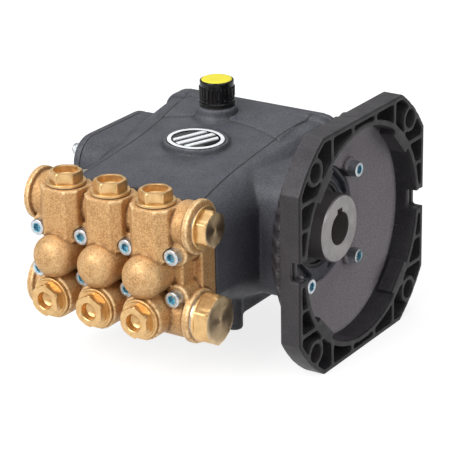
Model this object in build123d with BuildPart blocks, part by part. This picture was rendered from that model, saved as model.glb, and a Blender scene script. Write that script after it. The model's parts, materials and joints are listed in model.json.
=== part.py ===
"""Three-plunger pressure washer pump with a bell flange for a motor.

Frame: the origin is on the shaft axis at the face of the motor flange. +X leaves the flange
towards the motor, -Y points at the valve head (the front), +Z is up. Millimetres.
"""
import os
from math import cos, radians, sin, sqrt

from build123d import *

# ---------------------------------------------------------------- driving sizes
PITCH = 43.0                # plunger to plunger
THROW = 5.0                 # crank radius, half the stroke
ROD_LENGTH = 62.0           # big end to wrist pin
CROSSHEAD_END = 40.0        # wrist pin to the front of a crosshead
CROSSHEAD_GAP = 5.0         # from a crosshead at full stroke to the valve head
PHASES = (20.0, 140.0, 260.0)

CASE_RIGHT = -46.0          # face that carries the motor flange
DRIVE_SIDE = 56.0           # that face to the nearest plunger
FREE_SIDE = 55.0            # farthest plunger to the outer face of the free-end housing
MID_X = CASE_RIGHT - DRIVE_SIDE - PITCH
CASE_LEFT = MID_X - PITCH - FREE_SIDE
CASE_FRONT = ROD_LENGTH + THROW + CROSSHEAD_END + CROSSHEAD_GAP
CASE_REAR = 62.0            # crankcase rear face, behind the shaft axis
HOUSING_HALF_DEPTH = 56.0
HOUSING_HALF_HEIGHT = 53.0
HOUSING_CORNER = 22.0
FOOT_BOTTOM = -81.0
RAIL_BOTTOM = -70.0

FLANGE_SIDE = 200.0
FLANGE_CORNER_R = 118.2
RIM_THICKNESS = 18.5
RIM_WALL = 4.0
RIM_SKIN = 3.5
RING_INNER_R = 88.5
RING_WALL = 5.0
BOLT_CIRCLE = 215.0
BOLT_HOLE_R = 7.5
BOSS_R = 11.75
BELL_FLOOR_X = -40.0
BELL_FLOOR_R = 68.0
BELL_WALL = 6.0
LUG_WIDTH = 30.0
LUG_REACH = 82.5
LUG_DEPTH = 14.0

HUB_R = 28.3
HUB_FACE_X = -22.5
SHAFT_BORE_R = 14.0
SHAFT_BORE_DEPTH = 58.0
KEY_WIDTH = 8.0
KEY_HEIGHT = 3.3

PLUNGER_R = 9.0
PLUNGER_LEAD = 51.0         # tip of a plunger at mid stroke, ahead of the crankcase front
HEAD_SIDE = 32.0            # outer plunger to the side of the head's rear plate
PORT_SIDE = 35.4            # outer plunger to the end of the galleries
HEAD_HEIGHT = 86.0
HEAD_PLATE = 19.0
TOWER_WIDTH = 36.0
TOWER_TOP = 55.0
CHAMBER_WALL = 5.5
DOME_ROUND = 13.0
INLET_BRANCH_Z = -33.3
INLET_BRANCH_R = 18.5
# Places ahead of the shaft axis
HEAD_SEAT = CASE_FRONT + 39.0
TOWER_AXIS = CASE_FRONT + 33.5
DOME_FACE = CASE_FRONT + 66.5
INLET_BRANCH_FACE = CASE_FRONT + 58.0
# Gallery axes, ahead of the shaft axis and above it
OUTLET_AXIS = (CASE_FRONT + 23.0, 38.0)
INLET_AXIS = (CASE_FRONT + 25.0, -36.0)

# ---------------------------------------------------------------- clearances
RUN = 0.05                  # radial running fit
FIT = 0.1                   # static fit that must not touch
CLEAR = 0.4                 # free clearance

PLUNGER_X = tuple(MID_X + PITCH * step for step in (-1, 0, 1))
BASE = (Align.CENTER, Align.CENTER, Align.MIN)


def front_plane(distance, x=MID_X, z=0.0):
    """A plane facing the front, this far ahead of the shaft axis."""
    return Plane(origin=(x, -distance, z), x_dir=(1, 0, 0), z_dir=(0, -1, 0))


def rear_plane(distance, x=MID_X, z=0.0):
    """A plane facing the rear, this far ahead of the shaft axis."""
    return Plane(origin=(x, -distance, z), x_dir=(-1, 0, 0), z_dir=(0, 1, 0))


def side_plane(x, y=0.0, z=0.0):
    """A plane facing the motor side."""
    return Plane(origin=(x, y, z), x_dir=(0, 1, 0), z_dir=(1, 0, 0))


def top_plane(z, x=MID_X, y=0.0):
    """A level plane facing up."""
    return Plane(origin=(x, y, z), x_dir=(1, 0, 0), z_dir=(0, 0, 1))


def bar(planes, radius, length, mode=Mode.ADD):
    """Round bars standing on one plane or on each of a list of planes."""
    with Locations(planes):
        Cylinder(radius, length, align=BASE, mode=mode)


def hexagons(planes, across_flats, length, mode=Mode.ADD, turn=0.0):
    """Hexagonal bars standing on one plane or on each of a list of planes."""
    with BuildSketch(planes) as outline:
        RegularPolygon(across_flats / 2, 6, major_radius=False, rotation=turn)
    extrude(outline.sketch, amount=length, mode=mode)


def cap_screws(planes, shank_r, shank, head_r, head):
    """Socket head screws whose heads stand on the planes."""
    with Locations(planes):
        Cylinder(head_r, head, align=BASE)
        Cylinder(shank_r, shank, align=(Align.CENTER, Align.CENTER, Align.MAX))
    hexagons([plane.offset(head) for plane in planes], head_r * 0.92, -head / 2, Mode.SUBTRACT)


def finish_piece(piece, name):
    """Label a finished piece and write it as one STEP file."""
    piece.part.label = name
    export_step(piece.part, f"parts/{name}.step")


def crank_offset(phase):
    """Crank pin place (y, z) from the shaft axis at rest."""
    return -THROW * cos(radians(phase)), -THROW * sin(radians(phase))


os.makedirs("parts", exist_ok=True)

# ================================================================ motor flange
HALF_SIDE = FLANGE_SIDE / 2
RING_OUTER_R = RING_INNER_R + RING_WALL
BOLT_OFFSET = BOLT_CIRCLE / 2 / sqrt(2)
SCREW_OFFSET = 38.35
SCREW_SEAT_X = -34.0
SCREW_HOLE_R = 4.3
SPIGOT_R = 49.0
SPIGOT_X = -41.0
BELL_BACK_X = CASE_RIGHT
RIB_COUNT = 48
RIB_THICKNESS = 4.5
RIB_OUTER_R = 98.0
NOTCH_WIDTH = 16.0
NOTCH_DEPTH = 9.0
BOLT_PLACES = [side_plane(0, y, z) for y in (-BOLT_OFFSET, BOLT_OFFSET) for z in (-BOLT_OFFSET, BOLT_OFFSET)]
SCREW_CORNERS = [(y, z) for y in (-SCREW_OFFSET, SCREW_OFFSET) for z in (-SCREW_OFFSET, SCREW_OFFSET)]

with BuildPart() as motor_flange:
    with BuildSketch(side_plane(-RIM_THICKNESS)):
        Rectangle(FLANGE_SIDE, FLANGE_SIDE)
        Circle(FLANGE_CORNER_R, mode=Mode.INTERSECT)
        Circle(RING_INNER_R, mode=Mode.SUBTRACT)
    extrude(amount=RIM_THICKNESS)
    # Open pockets between the outer wall and the inner ring, crossed by ribs
    with BuildSketch(side_plane(0)):
        Rectangle(FLANGE_SIDE - 2 * RIM_WALL, FLANGE_SIDE - 2 * RIM_WALL)
        Circle(FLANGE_CORNER_R - RIM_WALL, mode=Mode.INTERSECT)
        Circle(RING_OUTER_R, mode=Mode.SUBTRACT)
        with GridLocations(2 * BOLT_OFFSET, 2 * BOLT_OFFSET, 2, 2):
            Circle(BOSS_R, mode=Mode.SUBTRACT)
        for height in (-55.0, -33.5, -11.0, 11.0, 33.5, 55.0):
            with Locations((0, height)):
                Rectangle(FLANGE_SIDE, RIM_WALL, mode=Mode.SUBTRACT)
        for place in (-50.0, -18.0, 18.0, 50.0):
            with Locations((place, 0)):
                Rectangle(RIM_WALL, FLANGE_SIDE, mode=Mode.SUBTRACT)
        with PolarLocations(0, 4, start_angle=45):
            Rectangle(2 * FLANGE_CORNER_R, RIM_WALL, mode=Mode.SUBTRACT)
    extrude(amount=-(RIM_THICKNESS - RIM_SKIN), mode=Mode.SUBTRACT)
    # Bell behind the rim, turned about the shaft axis
    with BuildSketch(Plane.XY):
        with BuildLine():
            Polyline(
                (BELL_BACK_X, SPIGOT_R + FIT),
                (BELL_BACK_X, BELL_FLOOR_R),
                (-RIM_THICKNESS - 7.0, RING_OUTER_R),
                (-RIM_THICKNESS, RING_OUTER_R),
                (-RIM_THICKNESS, RING_INNER_R),
                (-RIM_THICKNESS - 3.0, RING_INNER_R),
                (BELL_FLOOR_X, BELL_FLOOR_R - BELL_WALL),
                (BELL_FLOOR_X, SPIGOT_R + FIT),
                close=True,
            )
        make_face()
    revolve(axis=Axis.X)
    # Ribs down the back of the bell
    with BuildSketch(Plane.XY):
        with BuildLine():
            Polyline(
                (BELL_BACK_X + 2.0, BELL_FLOOR_R - 3.0),
                (BELL_BACK_X + 2.0, BELL_FLOOR_R + 5.0),
                (-RIM_THICKNESS - 5.0, RIB_OUTER_R),
                (-RIM_THICKNESS + 0.5, RIB_OUTER_R),
                (-RIM_THICKNESS + 0.5, RING_INNER_R + 2.0),
                (-RIM_THICKNESS - 5.0, RING_INNER_R + 2.0),
                close=True,
            )
        make_face()
    rib = extrude(amount=RIB_THICKNESS / 2, both=True, mode=Mode.PRIVATE)
    with Locations([Location((0, 0, 0), (1, 0, 0), 360.0 / RIB_COUNT * (turn + 0.5)) for turn in range(RIB_COUNT)]):
        add(rib)
    # Four lugs on the diagonals of the ring
    with BuildSketch(side_plane(0)):
        with PolarLocations((LUG_REACH + RING_OUTER_R - 2.0) / 2, 4, start_angle=45):
            Rectangle(RING_OUTER_R - 2.0 - LUG_REACH, LUG_WIDTH)
    extrude(amount=-LUG_DEPTH)
    # Pads under the four screws
    with Locations([side_plane(BELL_FLOOR_X - 1.0, y, z) for y, z in SCREW_CORNERS]):
        Cylinder(9.0, SCREW_SEAT_X - BELL_FLOOR_X + 1.0, align=BASE)
    with Locations(side_plane(BELL_BACK_X)):
        Cylinder(SPIGOT_R + FIT, SCREW_SEAT_X - BELL_BACK_X + 1.0, align=BASE, mode=Mode.SUBTRACT)
    with Locations([side_plane(BELL_BACK_X - 1.0, y, z) for y, z in SCREW_CORNERS]):
        Cylinder(SCREW_HOLE_R, 20.0, align=BASE, mode=Mode.SUBTRACT)
    with Locations([side_plane(-RIM_THICKNESS - 12.0, y, z) for y in (-BOLT_OFFSET, BOLT_OFFSET)
                    for z in (-BOLT_OFFSET, BOLT_OFFSET)]):
        Cylinder(BOLT_HOLE_R, RIM_THICKNESS + 12.0, align=BASE, mode=Mode.SUBTRACT)
    # Notches in the middle of the left and right sides
    with Locations([(-NOTCH_DEPTH / 2, y, 0) for y in (-HALF_SIDE, HALF_SIDE)]):
        Box(NOTCH_DEPTH, 2 * (HALF_SIDE - RING_INNER_R) + 4.0, NOTCH_WIDTH, mode=Mode.SUBTRACT)
finish_piece(motor_flange, "motor_flange")

with BuildPart() as flange_screws:
    cap_screws([side_plane(SCREW_SEAT_X, y, z) for y, z in SCREW_CORNERS], 4.0, 28.0, 6.5, 8.0)
finish_piece(flange_screws, "flange_screws")

# ================================================================ crankcase
CASE_SECTIONS = (
    # ahead of the axis; top edge outside the outer plunger, its height; crown height;
    # side outside the outer plunger; depth below the axis
    (CASE_FRONT, 4.5, 47.7, 49.5, 33.0, 46.0),
    (60.0, 12.5, 53.0, 55.0, 37.0, 54.0),
    (20.0, 20.0, 57.5, 60.0, 43.0, 60.0),
    (-10.0, 25.0, 61.5, 65.5, 47.0, 62.0),
    (-CASE_REAR, 31.0, 66.0, 71.0, 45.0, 62.0),
)
SIDE_TOP = 18.0
SIDE_BOTTOM = -28.0
GUIDE_R = 17.0
GUIDE_LENGTH = 30.0
CAVITY_HALF_WIDTH = PITCH + 20.0
CAVITY_HALF_HEIGHT = 44.0
CAVITY_CORNER = 24.0
COVER_BORE_R = 46.0
# Bore, outside, width and place of the inner face
DRIVE_BEARING = (27.5, 45.0, 18.0, CASE_RIGHT - 23.0)
FREE_BEARING = (15.0, 31.0, 16.0, CASE_LEFT + 1.0)
SEAL_R = 36.0
SEAL_WIDTH = 8.0
SHOULDER_X = DRIVE_BEARING[3] + DRIVE_BEARING[2]
FILLER_X = MID_X - 12.0
FILLER_Y = 26.0
FILLER_BOSS_R = 18.6
FILLER_BOSS_Z = 69.2
NECK_TOP = 76.5
NECK_R = 16.8
FILLER_BORE_R = 11.4
BADGE_Y = -25.0
BADGE_TILT = 4.0
BADGE_SIZE = (26.0, 21.5)
BADGE_RIM = 2.6
BADGE_THICKNESS = 2.0
BADGE_TOP_Z = 63.8
FOOT_X = PITCH + 13.0
FOOT_ROWS = (-58.0, 40.0)
FOOT_R = 7.5
FOOT_HOLE_R = 3.4
FOOT_HOLE_DEPTH = 14.0
HEAD_SCREW_X = tuple(MID_X + PITCH * step for step in (-1.5, -0.5, 0.5, 1.5))
HEAD_SCREW_Z = 17.5
HEAD_SCREW_DEPTH = 22.0
REAR_PLATE = (PITCH + 41.0, -60.0, 70.0, 10.0)  # half-width, lowest, highest, thickness
REAR_SCREW_INSET = 10.0
REAR_SCREW_SIDE = REAR_PLATE[0] - REAR_SCREW_INSET
REAR_SCREW_ROWS = (REAR_PLATE[1] + REAR_SCREW_INSET, 5.0, REAR_PLATE[2] - REAR_SCREW_INSET)
REAR_SCREWS = [(side * REAR_SCREW_SIDE, z) for side in (-1, 1) for z in REAR_SCREW_ROWS]
REAR_SCREWS += [(x, z) for x in (-26.0, 26.0) for z in REAR_SCREW_ROWS[::2]]
COVER_SCREWS = [(y, z) for y in (-43.0, 43.0) for z in (-41.0, 41.0)]
BADGE_PLANE = Plane(origin=(MID_X, BADGE_Y, BADGE_TOP_Z), x_dir=(1, 0, 0),
                    z_dir=(0, -sin(radians(BADGE_TILT)), cos(radians(BADGE_TILT))))
SIGHT_PLANE = Plane(origin=(CASE_LEFT + 8.7, -HOUSING_HALF_DEPTH, 22.0), x_dir=(1, 0, 0), z_dir=(0, -1, 0))
SIGHT_R = 6.5
DRAIN_PLANE = Plane(origin=(MID_X, -10.0, -60.0), x_dir=(1, 0, 0), z_dir=(0, 0, -1))

with BuildPart() as crankcase:
    for ahead, edge_side, edge_z, crown, half_side, below in CASE_SECTIONS:
        edge = PITCH + edge_side
        half = PITCH + half_side
        with BuildSketch(front_plane(ahead)):
            with BuildLine():
                ThreePointArc((-edge, edge_z), (0, crown), (edge, edge_z))
                ThreePointArc(
                    (edge, edge_z),
                    (edge + 0.78 * (half - edge), SIDE_TOP + 0.62 * (edge_z - SIDE_TOP)),
                    (half, SIDE_TOP),
                )
                Line((half, SIDE_TOP), (half, SIDE_BOTTOM))
                ThreePointArc((half, SIDE_BOTTOM), (half - 6.0, -below + 10.0), (half - 22.0, -below))
                Line((half - 22.0, -below), (-half + 22.0, -below))
                ThreePointArc((-half + 22.0, -below), (-half + 6.0, -below + 10.0), (-half, SIDE_BOTTOM))
                Line((-half, SIDE_BOTTOM), (-half, SIDE_TOP))
                ThreePointArc(
                    (-half, SIDE_TOP),
                    (-edge - 0.78 * (half - edge), SIDE_TOP + 0.62 * (edge_z - SIDE_TOP)),
                    (-edge, edge_z),
                )
            make_face()
    loft()
    # Bearing housings, one long rounded block along the shaft
    with BuildSketch(side_plane(CASE_LEFT)):
        RectangleRounded(2 * HOUSING_HALF_DEPTH, 2 * HOUSING_HALF_HEIGHT, HOUSING_CORNER)
    extrude(amount=CASE_RIGHT - CASE_LEFT)
    bar(side_plane(CASE_RIGHT), SPIGOT_R, SPIGOT_X - CASE_RIGHT)
    # Frame for the rear cover
    with BuildSketch(rear_plane(-CASE_REAR + REAR_PLATE[3], MID_X, (REAR_PLATE[1] + REAR_PLATE[2]) / 2)):
        RectangleRounded(2 * REAR_PLATE[0], REAR_PLATE[2] - REAR_PLATE[1], 16.0)
    extrude(amount=REAR_PLATE[3])
    # Filler boss and neck
    bar(top_plane(CAVITY_HALF_HEIGHT + 6.0, FILLER_X, FILLER_Y), NECK_R, NECK_TOP - CAVITY_HALF_HEIGHT - 6.0)
    with Locations(top_plane(CAVITY_HALF_HEIGHT + 6.0, FILLER_X, FILLER_Y)):
        Cone(FILLER_BOSS_R + 3.0, FILLER_BOSS_R, FILLER_BOSS_Z - CAVITY_HALF_HEIGHT - 6.0, align=BASE)
    # Raised badge seat
    with BuildSketch(BADGE_PLANE):
        Ellipse(BADGE_SIZE[0] + BADGE_RIM, BADGE_SIZE[1] + BADGE_RIM)
    extrude(amount=-14.0)
    with BuildSketch(BADGE_PLANE):
        Ellipse(*BADGE_SIZE)
    extrude(amount=-BADGE_THICKNESS, mode=Mode.SUBTRACT)
    # Feet: two rails and four pegs
    with Locations([(MID_X + side * FOOT_X, (FOOT_ROWS[0] + FOOT_ROWS[1]) / 2, RAIL_BOTTOM + 10.0)
                    for side in (-1, 1)]):
        Box(11.0, FOOT_ROWS[1] - FOOT_ROWS[0], 20.0)
    bar([top_plane(FOOT_BOTTOM, MID_X + side * FOOT_X, y) for side in (-1, 1) for y in FOOT_ROWS], FOOT_R, 46.0)
    # Crank chamber, open at the rear and through the free-end housing
    with BuildSketch(rear_plane(CASE_FRONT - GUIDE_LENGTH)):
        RectangleRounded(2 * CAVITY_HALF_WIDTH, 2 * CAVITY_HALF_HEIGHT, CAVITY_CORNER)
    extrude(amount=CASE_FRONT - GUIDE_LENGTH + CASE_REAR, mode=Mode.SUBTRACT)
    bar(side_plane(CASE_LEFT), COVER_BORE_R, MID_X - CASE_LEFT, Mode.SUBTRACT)
    bar(side_plane(MID_X), DRIVE_BEARING[1] + FIT / 2, SHOULDER_X - MID_X, Mode.SUBTRACT)
    bar(side_plane(SHOULDER_X - 1.0), SEAL_R + FIT / 2, SPIGOT_X - SHOULDER_X + 1.0, Mode.SUBTRACT)
    # Windows in the end of the seal housing
    with BuildSketch(side_plane(SPIGOT_X)):
        with PolarLocations(0, 4, start_angle=45):
            with Locations((41.5, 0)):
                SlotOverall(44.0, 7.0, rotation=90)
        Circle(SPIGOT_R - 2.5, mode=Mode.INTERSECT)
    extrude(amount=-7.0, mode=Mode.SUBTRACT)
    # Crosshead guides, filler, screw holes
    bar([front_plane(CASE_FRONT - GUIDE_LENGTH - 1.0, x) for x in PLUNGER_X], GUIDE_R + RUN,
        GUIDE_LENGTH + 1.0, Mode.SUBTRACT)
    bar(top_plane(CAVITY_HALF_HEIGHT - 4.0, FILLER_X, FILLER_Y), FILLER_BORE_R, 60.0, Mode.SUBTRACT)
    bar([rear_plane(CASE_FRONT, x, z) for x in HEAD_SCREW_X for z in (-HEAD_SCREW_Z, HEAD_SCREW_Z)],
        4.0 + FIT, HEAD_SCREW_DEPTH, Mode.SUBTRACT)
    bar([side_plane(CASE_RIGHT - 24.0, y, z) for y, z in SCREW_CORNERS], 4.0 + FIT, 24.0, Mode.SUBTRACT)
    bar([side_plane(CASE_LEFT, y, z) for y, z in COVER_SCREWS], 3.0 + FIT, 16.0, Mode.SUBTRACT)
    bar([front_plane(-CASE_REAR, MID_X + x, z) for x, z in REAR_SCREWS], 3.0 + FIT, 14.0, Mode.SUBTRACT)
    bar([top_plane(FOOT_BOTTOM, MID_X + side * FOOT_X, y) for side in (-1, 1) for y in FOOT_ROWS],
        FOOT_HOLE_R, FOOT_HOLE_DEPTH, Mode.SUBTRACT)
    bar(SIGHT_PLANE.offset(-8.0), SIGHT_R + FIT, 30.0, Mode.SUBTRACT)
    bar(DRAIN_PLANE.offset(-20.0), 6.0 + FIT, 20.0, Mode.SUBTRACT)
    bar(DRAIN_PLANE, 9.0 + FIT, 20.0, Mode.SUBTRACT)
finish_piece(crankcase, "crankcase")

with BuildPart() as badge_plate:
    with BuildSketch(BADGE_PLANE):
        Ellipse(BADGE_SIZE[0] - FIT, BADGE_SIZE[1] - FIT)
    extrude(amount=-BADGE_THICKNESS)
    with BuildSketch(BADGE_PLANE):
        for row in (-1, 0, 1):
            with Locations((row * 11.0, 0)):
                SlotOverall(22.0, 5.0, rotation=60)
    extrude(amount=-0.8, mode=Mode.SUBTRACT)
finish_piece(badge_plate, "badge_plate")

with BuildPart() as sight_glass:
    with Locations(SIGHT_PLANE):
        Cylinder(SIGHT_R, 7.0, align=(Align.CENTER, Align.CENTER, Align.MAX))
        Cylinder(SIGHT_R + 2.0, 2.5, align=BASE)
    fillet(sight_glass.edges().filter_by(GeomType.CIRCLE).sort_by(Axis.Y)[0], 1.2)
finish_piece(sight_glass, "sight_glass")

with BuildPart() as drain_plug:
    with Locations(DRAIN_PLANE):
        Cylinder(6.0, 9.0, align=(Align.CENTER, Align.CENTER, Align.MAX))
        Cylinder(9.0, 1.5, align=BASE)
    with BuildSketch(DRAIN_PLANE.offset(1.5)):
        RegularPolygon(8.0, 6, major_radius=False)
    extrude(amount=5.0)
finish_piece(drain_plug, "drain_plug")

with BuildPart() as rear_cover:
    with BuildSketch(rear_plane(-CASE_REAR, MID_X, (REAR_PLATE[1] + REAR_PLATE[2]) / 2)):
        RectangleRounded(2 * REAR_PLATE[0], REAR_PLATE[2] - REAR_PLATE[1], 16.0)
    extrude(amount=7.0)
    with BuildSketch(rear_plane(-CASE_REAR - 7.0, MID_X, 5.0)):
        RectangleRounded(2 * REAR_PLATE[0] - 46.0, 82.0, 14.0)
    extrude(amount=12.0, taper=12)
    with BuildSketch([rear_plane(-CASE_REAR - 16.0, MID_X, z) for z in (-20.0, -3.0, 14.0, 31.0)]):
        SlotOverall(2 * REAR_PLATE[0] - 56.0, 5.0)
    extrude(amount=6.0)
    bar([rear_plane(-CASE_REAR, MID_X + x, z) for x, z in REAR_SCREWS], 3.3, 7.0, Mode.SUBTRACT)
finish_piece(rear_cover, "rear_cover")

with BuildPart() as rear_cover_screws:
    cap_screws([rear_plane(-CASE_REAR - 7.0, MID_X + x, z) for x, z in REAR_SCREWS], 3.0, 19.0, 5.0, 6.0)
finish_piece(rear_cover_screws, "rear_cover_screws")

COVER_PLATE = 7.0
COVER_PLUG = 16.0
with BuildPart() as bearing_cover:
    with BuildSketch(side_plane(CASE_LEFT - COVER_PLATE)):
        RectangleRounded(2 * HOUSING_HALF_DEPTH, 2 * HOUSING_HALF_HEIGHT, HOUSING_CORNER)
    extrude(amount=COVER_PLATE)
    chamfer(bearing_cover.faces().sort_by(Axis.X)[0].edges(), 1.5)
    bar(side_plane(CASE_LEFT), COVER_BORE_R - FIT, COVER_PLUG)
    bar(side_plane(FREE_BEARING[3]), FREE_BEARING[1] + FIT / 2, FREE_BEARING[2] + 2.0, Mode.SUBTRACT)
    with BuildSketch(side_plane(CASE_LEFT - COVER_PLATE)):
        Circle(38.0)
        Circle(35.0, mode=Mode.SUBTRACT)
        Circle(24.0)
        Circle(21.0, mode=Mode.SUBTRACT)
    extrude(amount=-2.0)
    bar([side_plane(CASE_LEFT - COVER_PLATE, y, z) for y, z in COVER_SCREWS], 3.3, COVER_PLATE, Mode.SUBTRACT)
finish_piece(bearing_cover, "bearing_cover")

with BuildPart() as bearing_cover_screws:
    cap_screws([Plane(origin=(CASE_LEFT - COVER_PLATE, y, z), x_dir=(0, -1, 0), z_dir=(-1, 0, 0))
                for y, z in COVER_SCREWS], 3.0, 21.0, 5.0, 6.0)
finish_piece(bearing_cover_screws, "bearing_cover_screws")

# ================================================================ oil filler cap
THREAD_PITCH = 3.0
CAP_R = 15.3
CAP_HEIGHT = 21.5
BUTTON_R = 13.0
WASHER = 1.0
CAP_PLANE = top_plane(NECK_TOP + WASHER, FILLER_X, FILLER_Y)

with BuildPart() as filler_washer:
    bar(top_plane(NECK_TOP, FILLER_X, FILLER_Y), CAP_R - 0.3, WASHER)
    bar(top_plane(NECK_TOP, FILLER_X, FILLER_Y), FILLER_BORE_R, WASHER, Mode.SUBTRACT)
finish_piece(filler_washer, "filler_washer")

with BuildPart() as oil_cap:
    bar(CAP_PLANE, CAP_R - 1.0, CAP_HEIGHT)
    bar(CAP_PLANE.offset(3.0), CAP_R - 0.4, 3.0)
    with BuildSketch(CAP_PLANE.offset(7.0)):
        with PolarLocations(CAP_R - 1.2, 30):
            Rectangle(2.2, 1.7)
    extrude(amount=CAP_HEIGHT - 9.0)
    bar(CAP_PLANE.offset(-12.0), FILLER_BORE_R - 0.4, 12.0)
    bar(CAP_PLANE.offset(CAP_HEIGHT - 2.0), BUTTON_R + FIT, 2.0, Mode.SUBTRACT)
    bar(CAP_PLANE.offset(-12.0), 1.6, 8.0, Mode.SUBTRACT)
    chamfer(oil_cap.faces().sort_by(Axis.Z)[-1].outer_wire().edges(), 0.5)
finish_piece(oil_cap, "oil_cap")

with BuildPart() as oil_cap_button:
    bar(CAP_PLANE.offset(CAP_HEIGHT - 2.0), BUTTON_R, 2.8)
    fillet(oil_cap_button.faces().sort_by(Axis.Z)[-1].edges(), 1.2)
finish_piece(oil_cap_button, "oil_cap_button")

with BuildPart() as dipstick:
    bar(CAP_PLANE.offset(-36.0), 1.5, 31.9)
    with Locations(CAP_PLANE.offset(-36.0)):
        Box(4.5, 1.2, 10.0, align=BASE)
finish_piece(dipstick, "dipstick")

# ================================================================ valve head
CHAMBER_R = PLUNGER_R + 3.0
DOME_R = CHAMBER_R + CHAMBER_WALL
CHAMBER_END = DOME_FACE - 10.5
PACKING_R = PLUNGER_R + 5.5
PACKING_DEPTH = 17.0
VALVE_BORE_R = 11.5
OUTLET_SEAT_Z = 16.0
INLET_SEAT = CASE_FRONT + 36.0
SEAT_THICKNESS = 5.0
LIFT = 2.0
PLATE_THICKNESS = 1.6
PLATE_R = 8.0
CAGE_LENGTH = 13.0
PORT_R = 7.0
GALLERY_R = 8.0
OUTLET_THREAD_R = 8.4
INLET_THREAD_R = 10.3
PORT_DEPTH = 14.0
SIDE_THREAD_R = 10.0
SIDE_DEPTH = 13.0
PORT_HALF_SPAN = PITCH + PORT_SIDE
HEAD_RIGHT = MID_X + PORT_HALF_SPAN
HEAD_LEFT = MID_X - PORT_HALF_SPAN
OUTLET_PLANES = [top_plane(OUTLET_SEAT_Z, x, -TOWER_AXIS) for x in PLUNGER_X]
INLET_PLANES = [front_plane(INLET_SEAT, x, INLET_BRANCH_Z) for x in PLUNGER_X]
CAP_SEATS = [top_plane(TOWER_TOP, x, -TOWER_AXIS) for x in PLUNGER_X]
PLUG_SEATS = [front_plane(INLET_BRANCH_FACE, x, INLET_BRANCH_Z) for x in PLUNGER_X]
HEAD_SCREW_PLACES = [(x, z) for x in HEAD_SCREW_X for z in (-HEAD_SCREW_Z, HEAD_SCREW_Z)]


def at_left(axis, reach=HEAD_LEFT):
    """A plane facing the motor side on a gallery axis given as (ahead, up)."""
    return side_plane(reach, -axis[0], axis[1])


with BuildPart() as dome:
    Cylinder(DOME_R, DOME_FACE - CASE_FRONT, align=BASE)
    fillet(dome.faces().sort_by(Axis.Z)[-1].edges(), DOME_ROUND)

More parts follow.
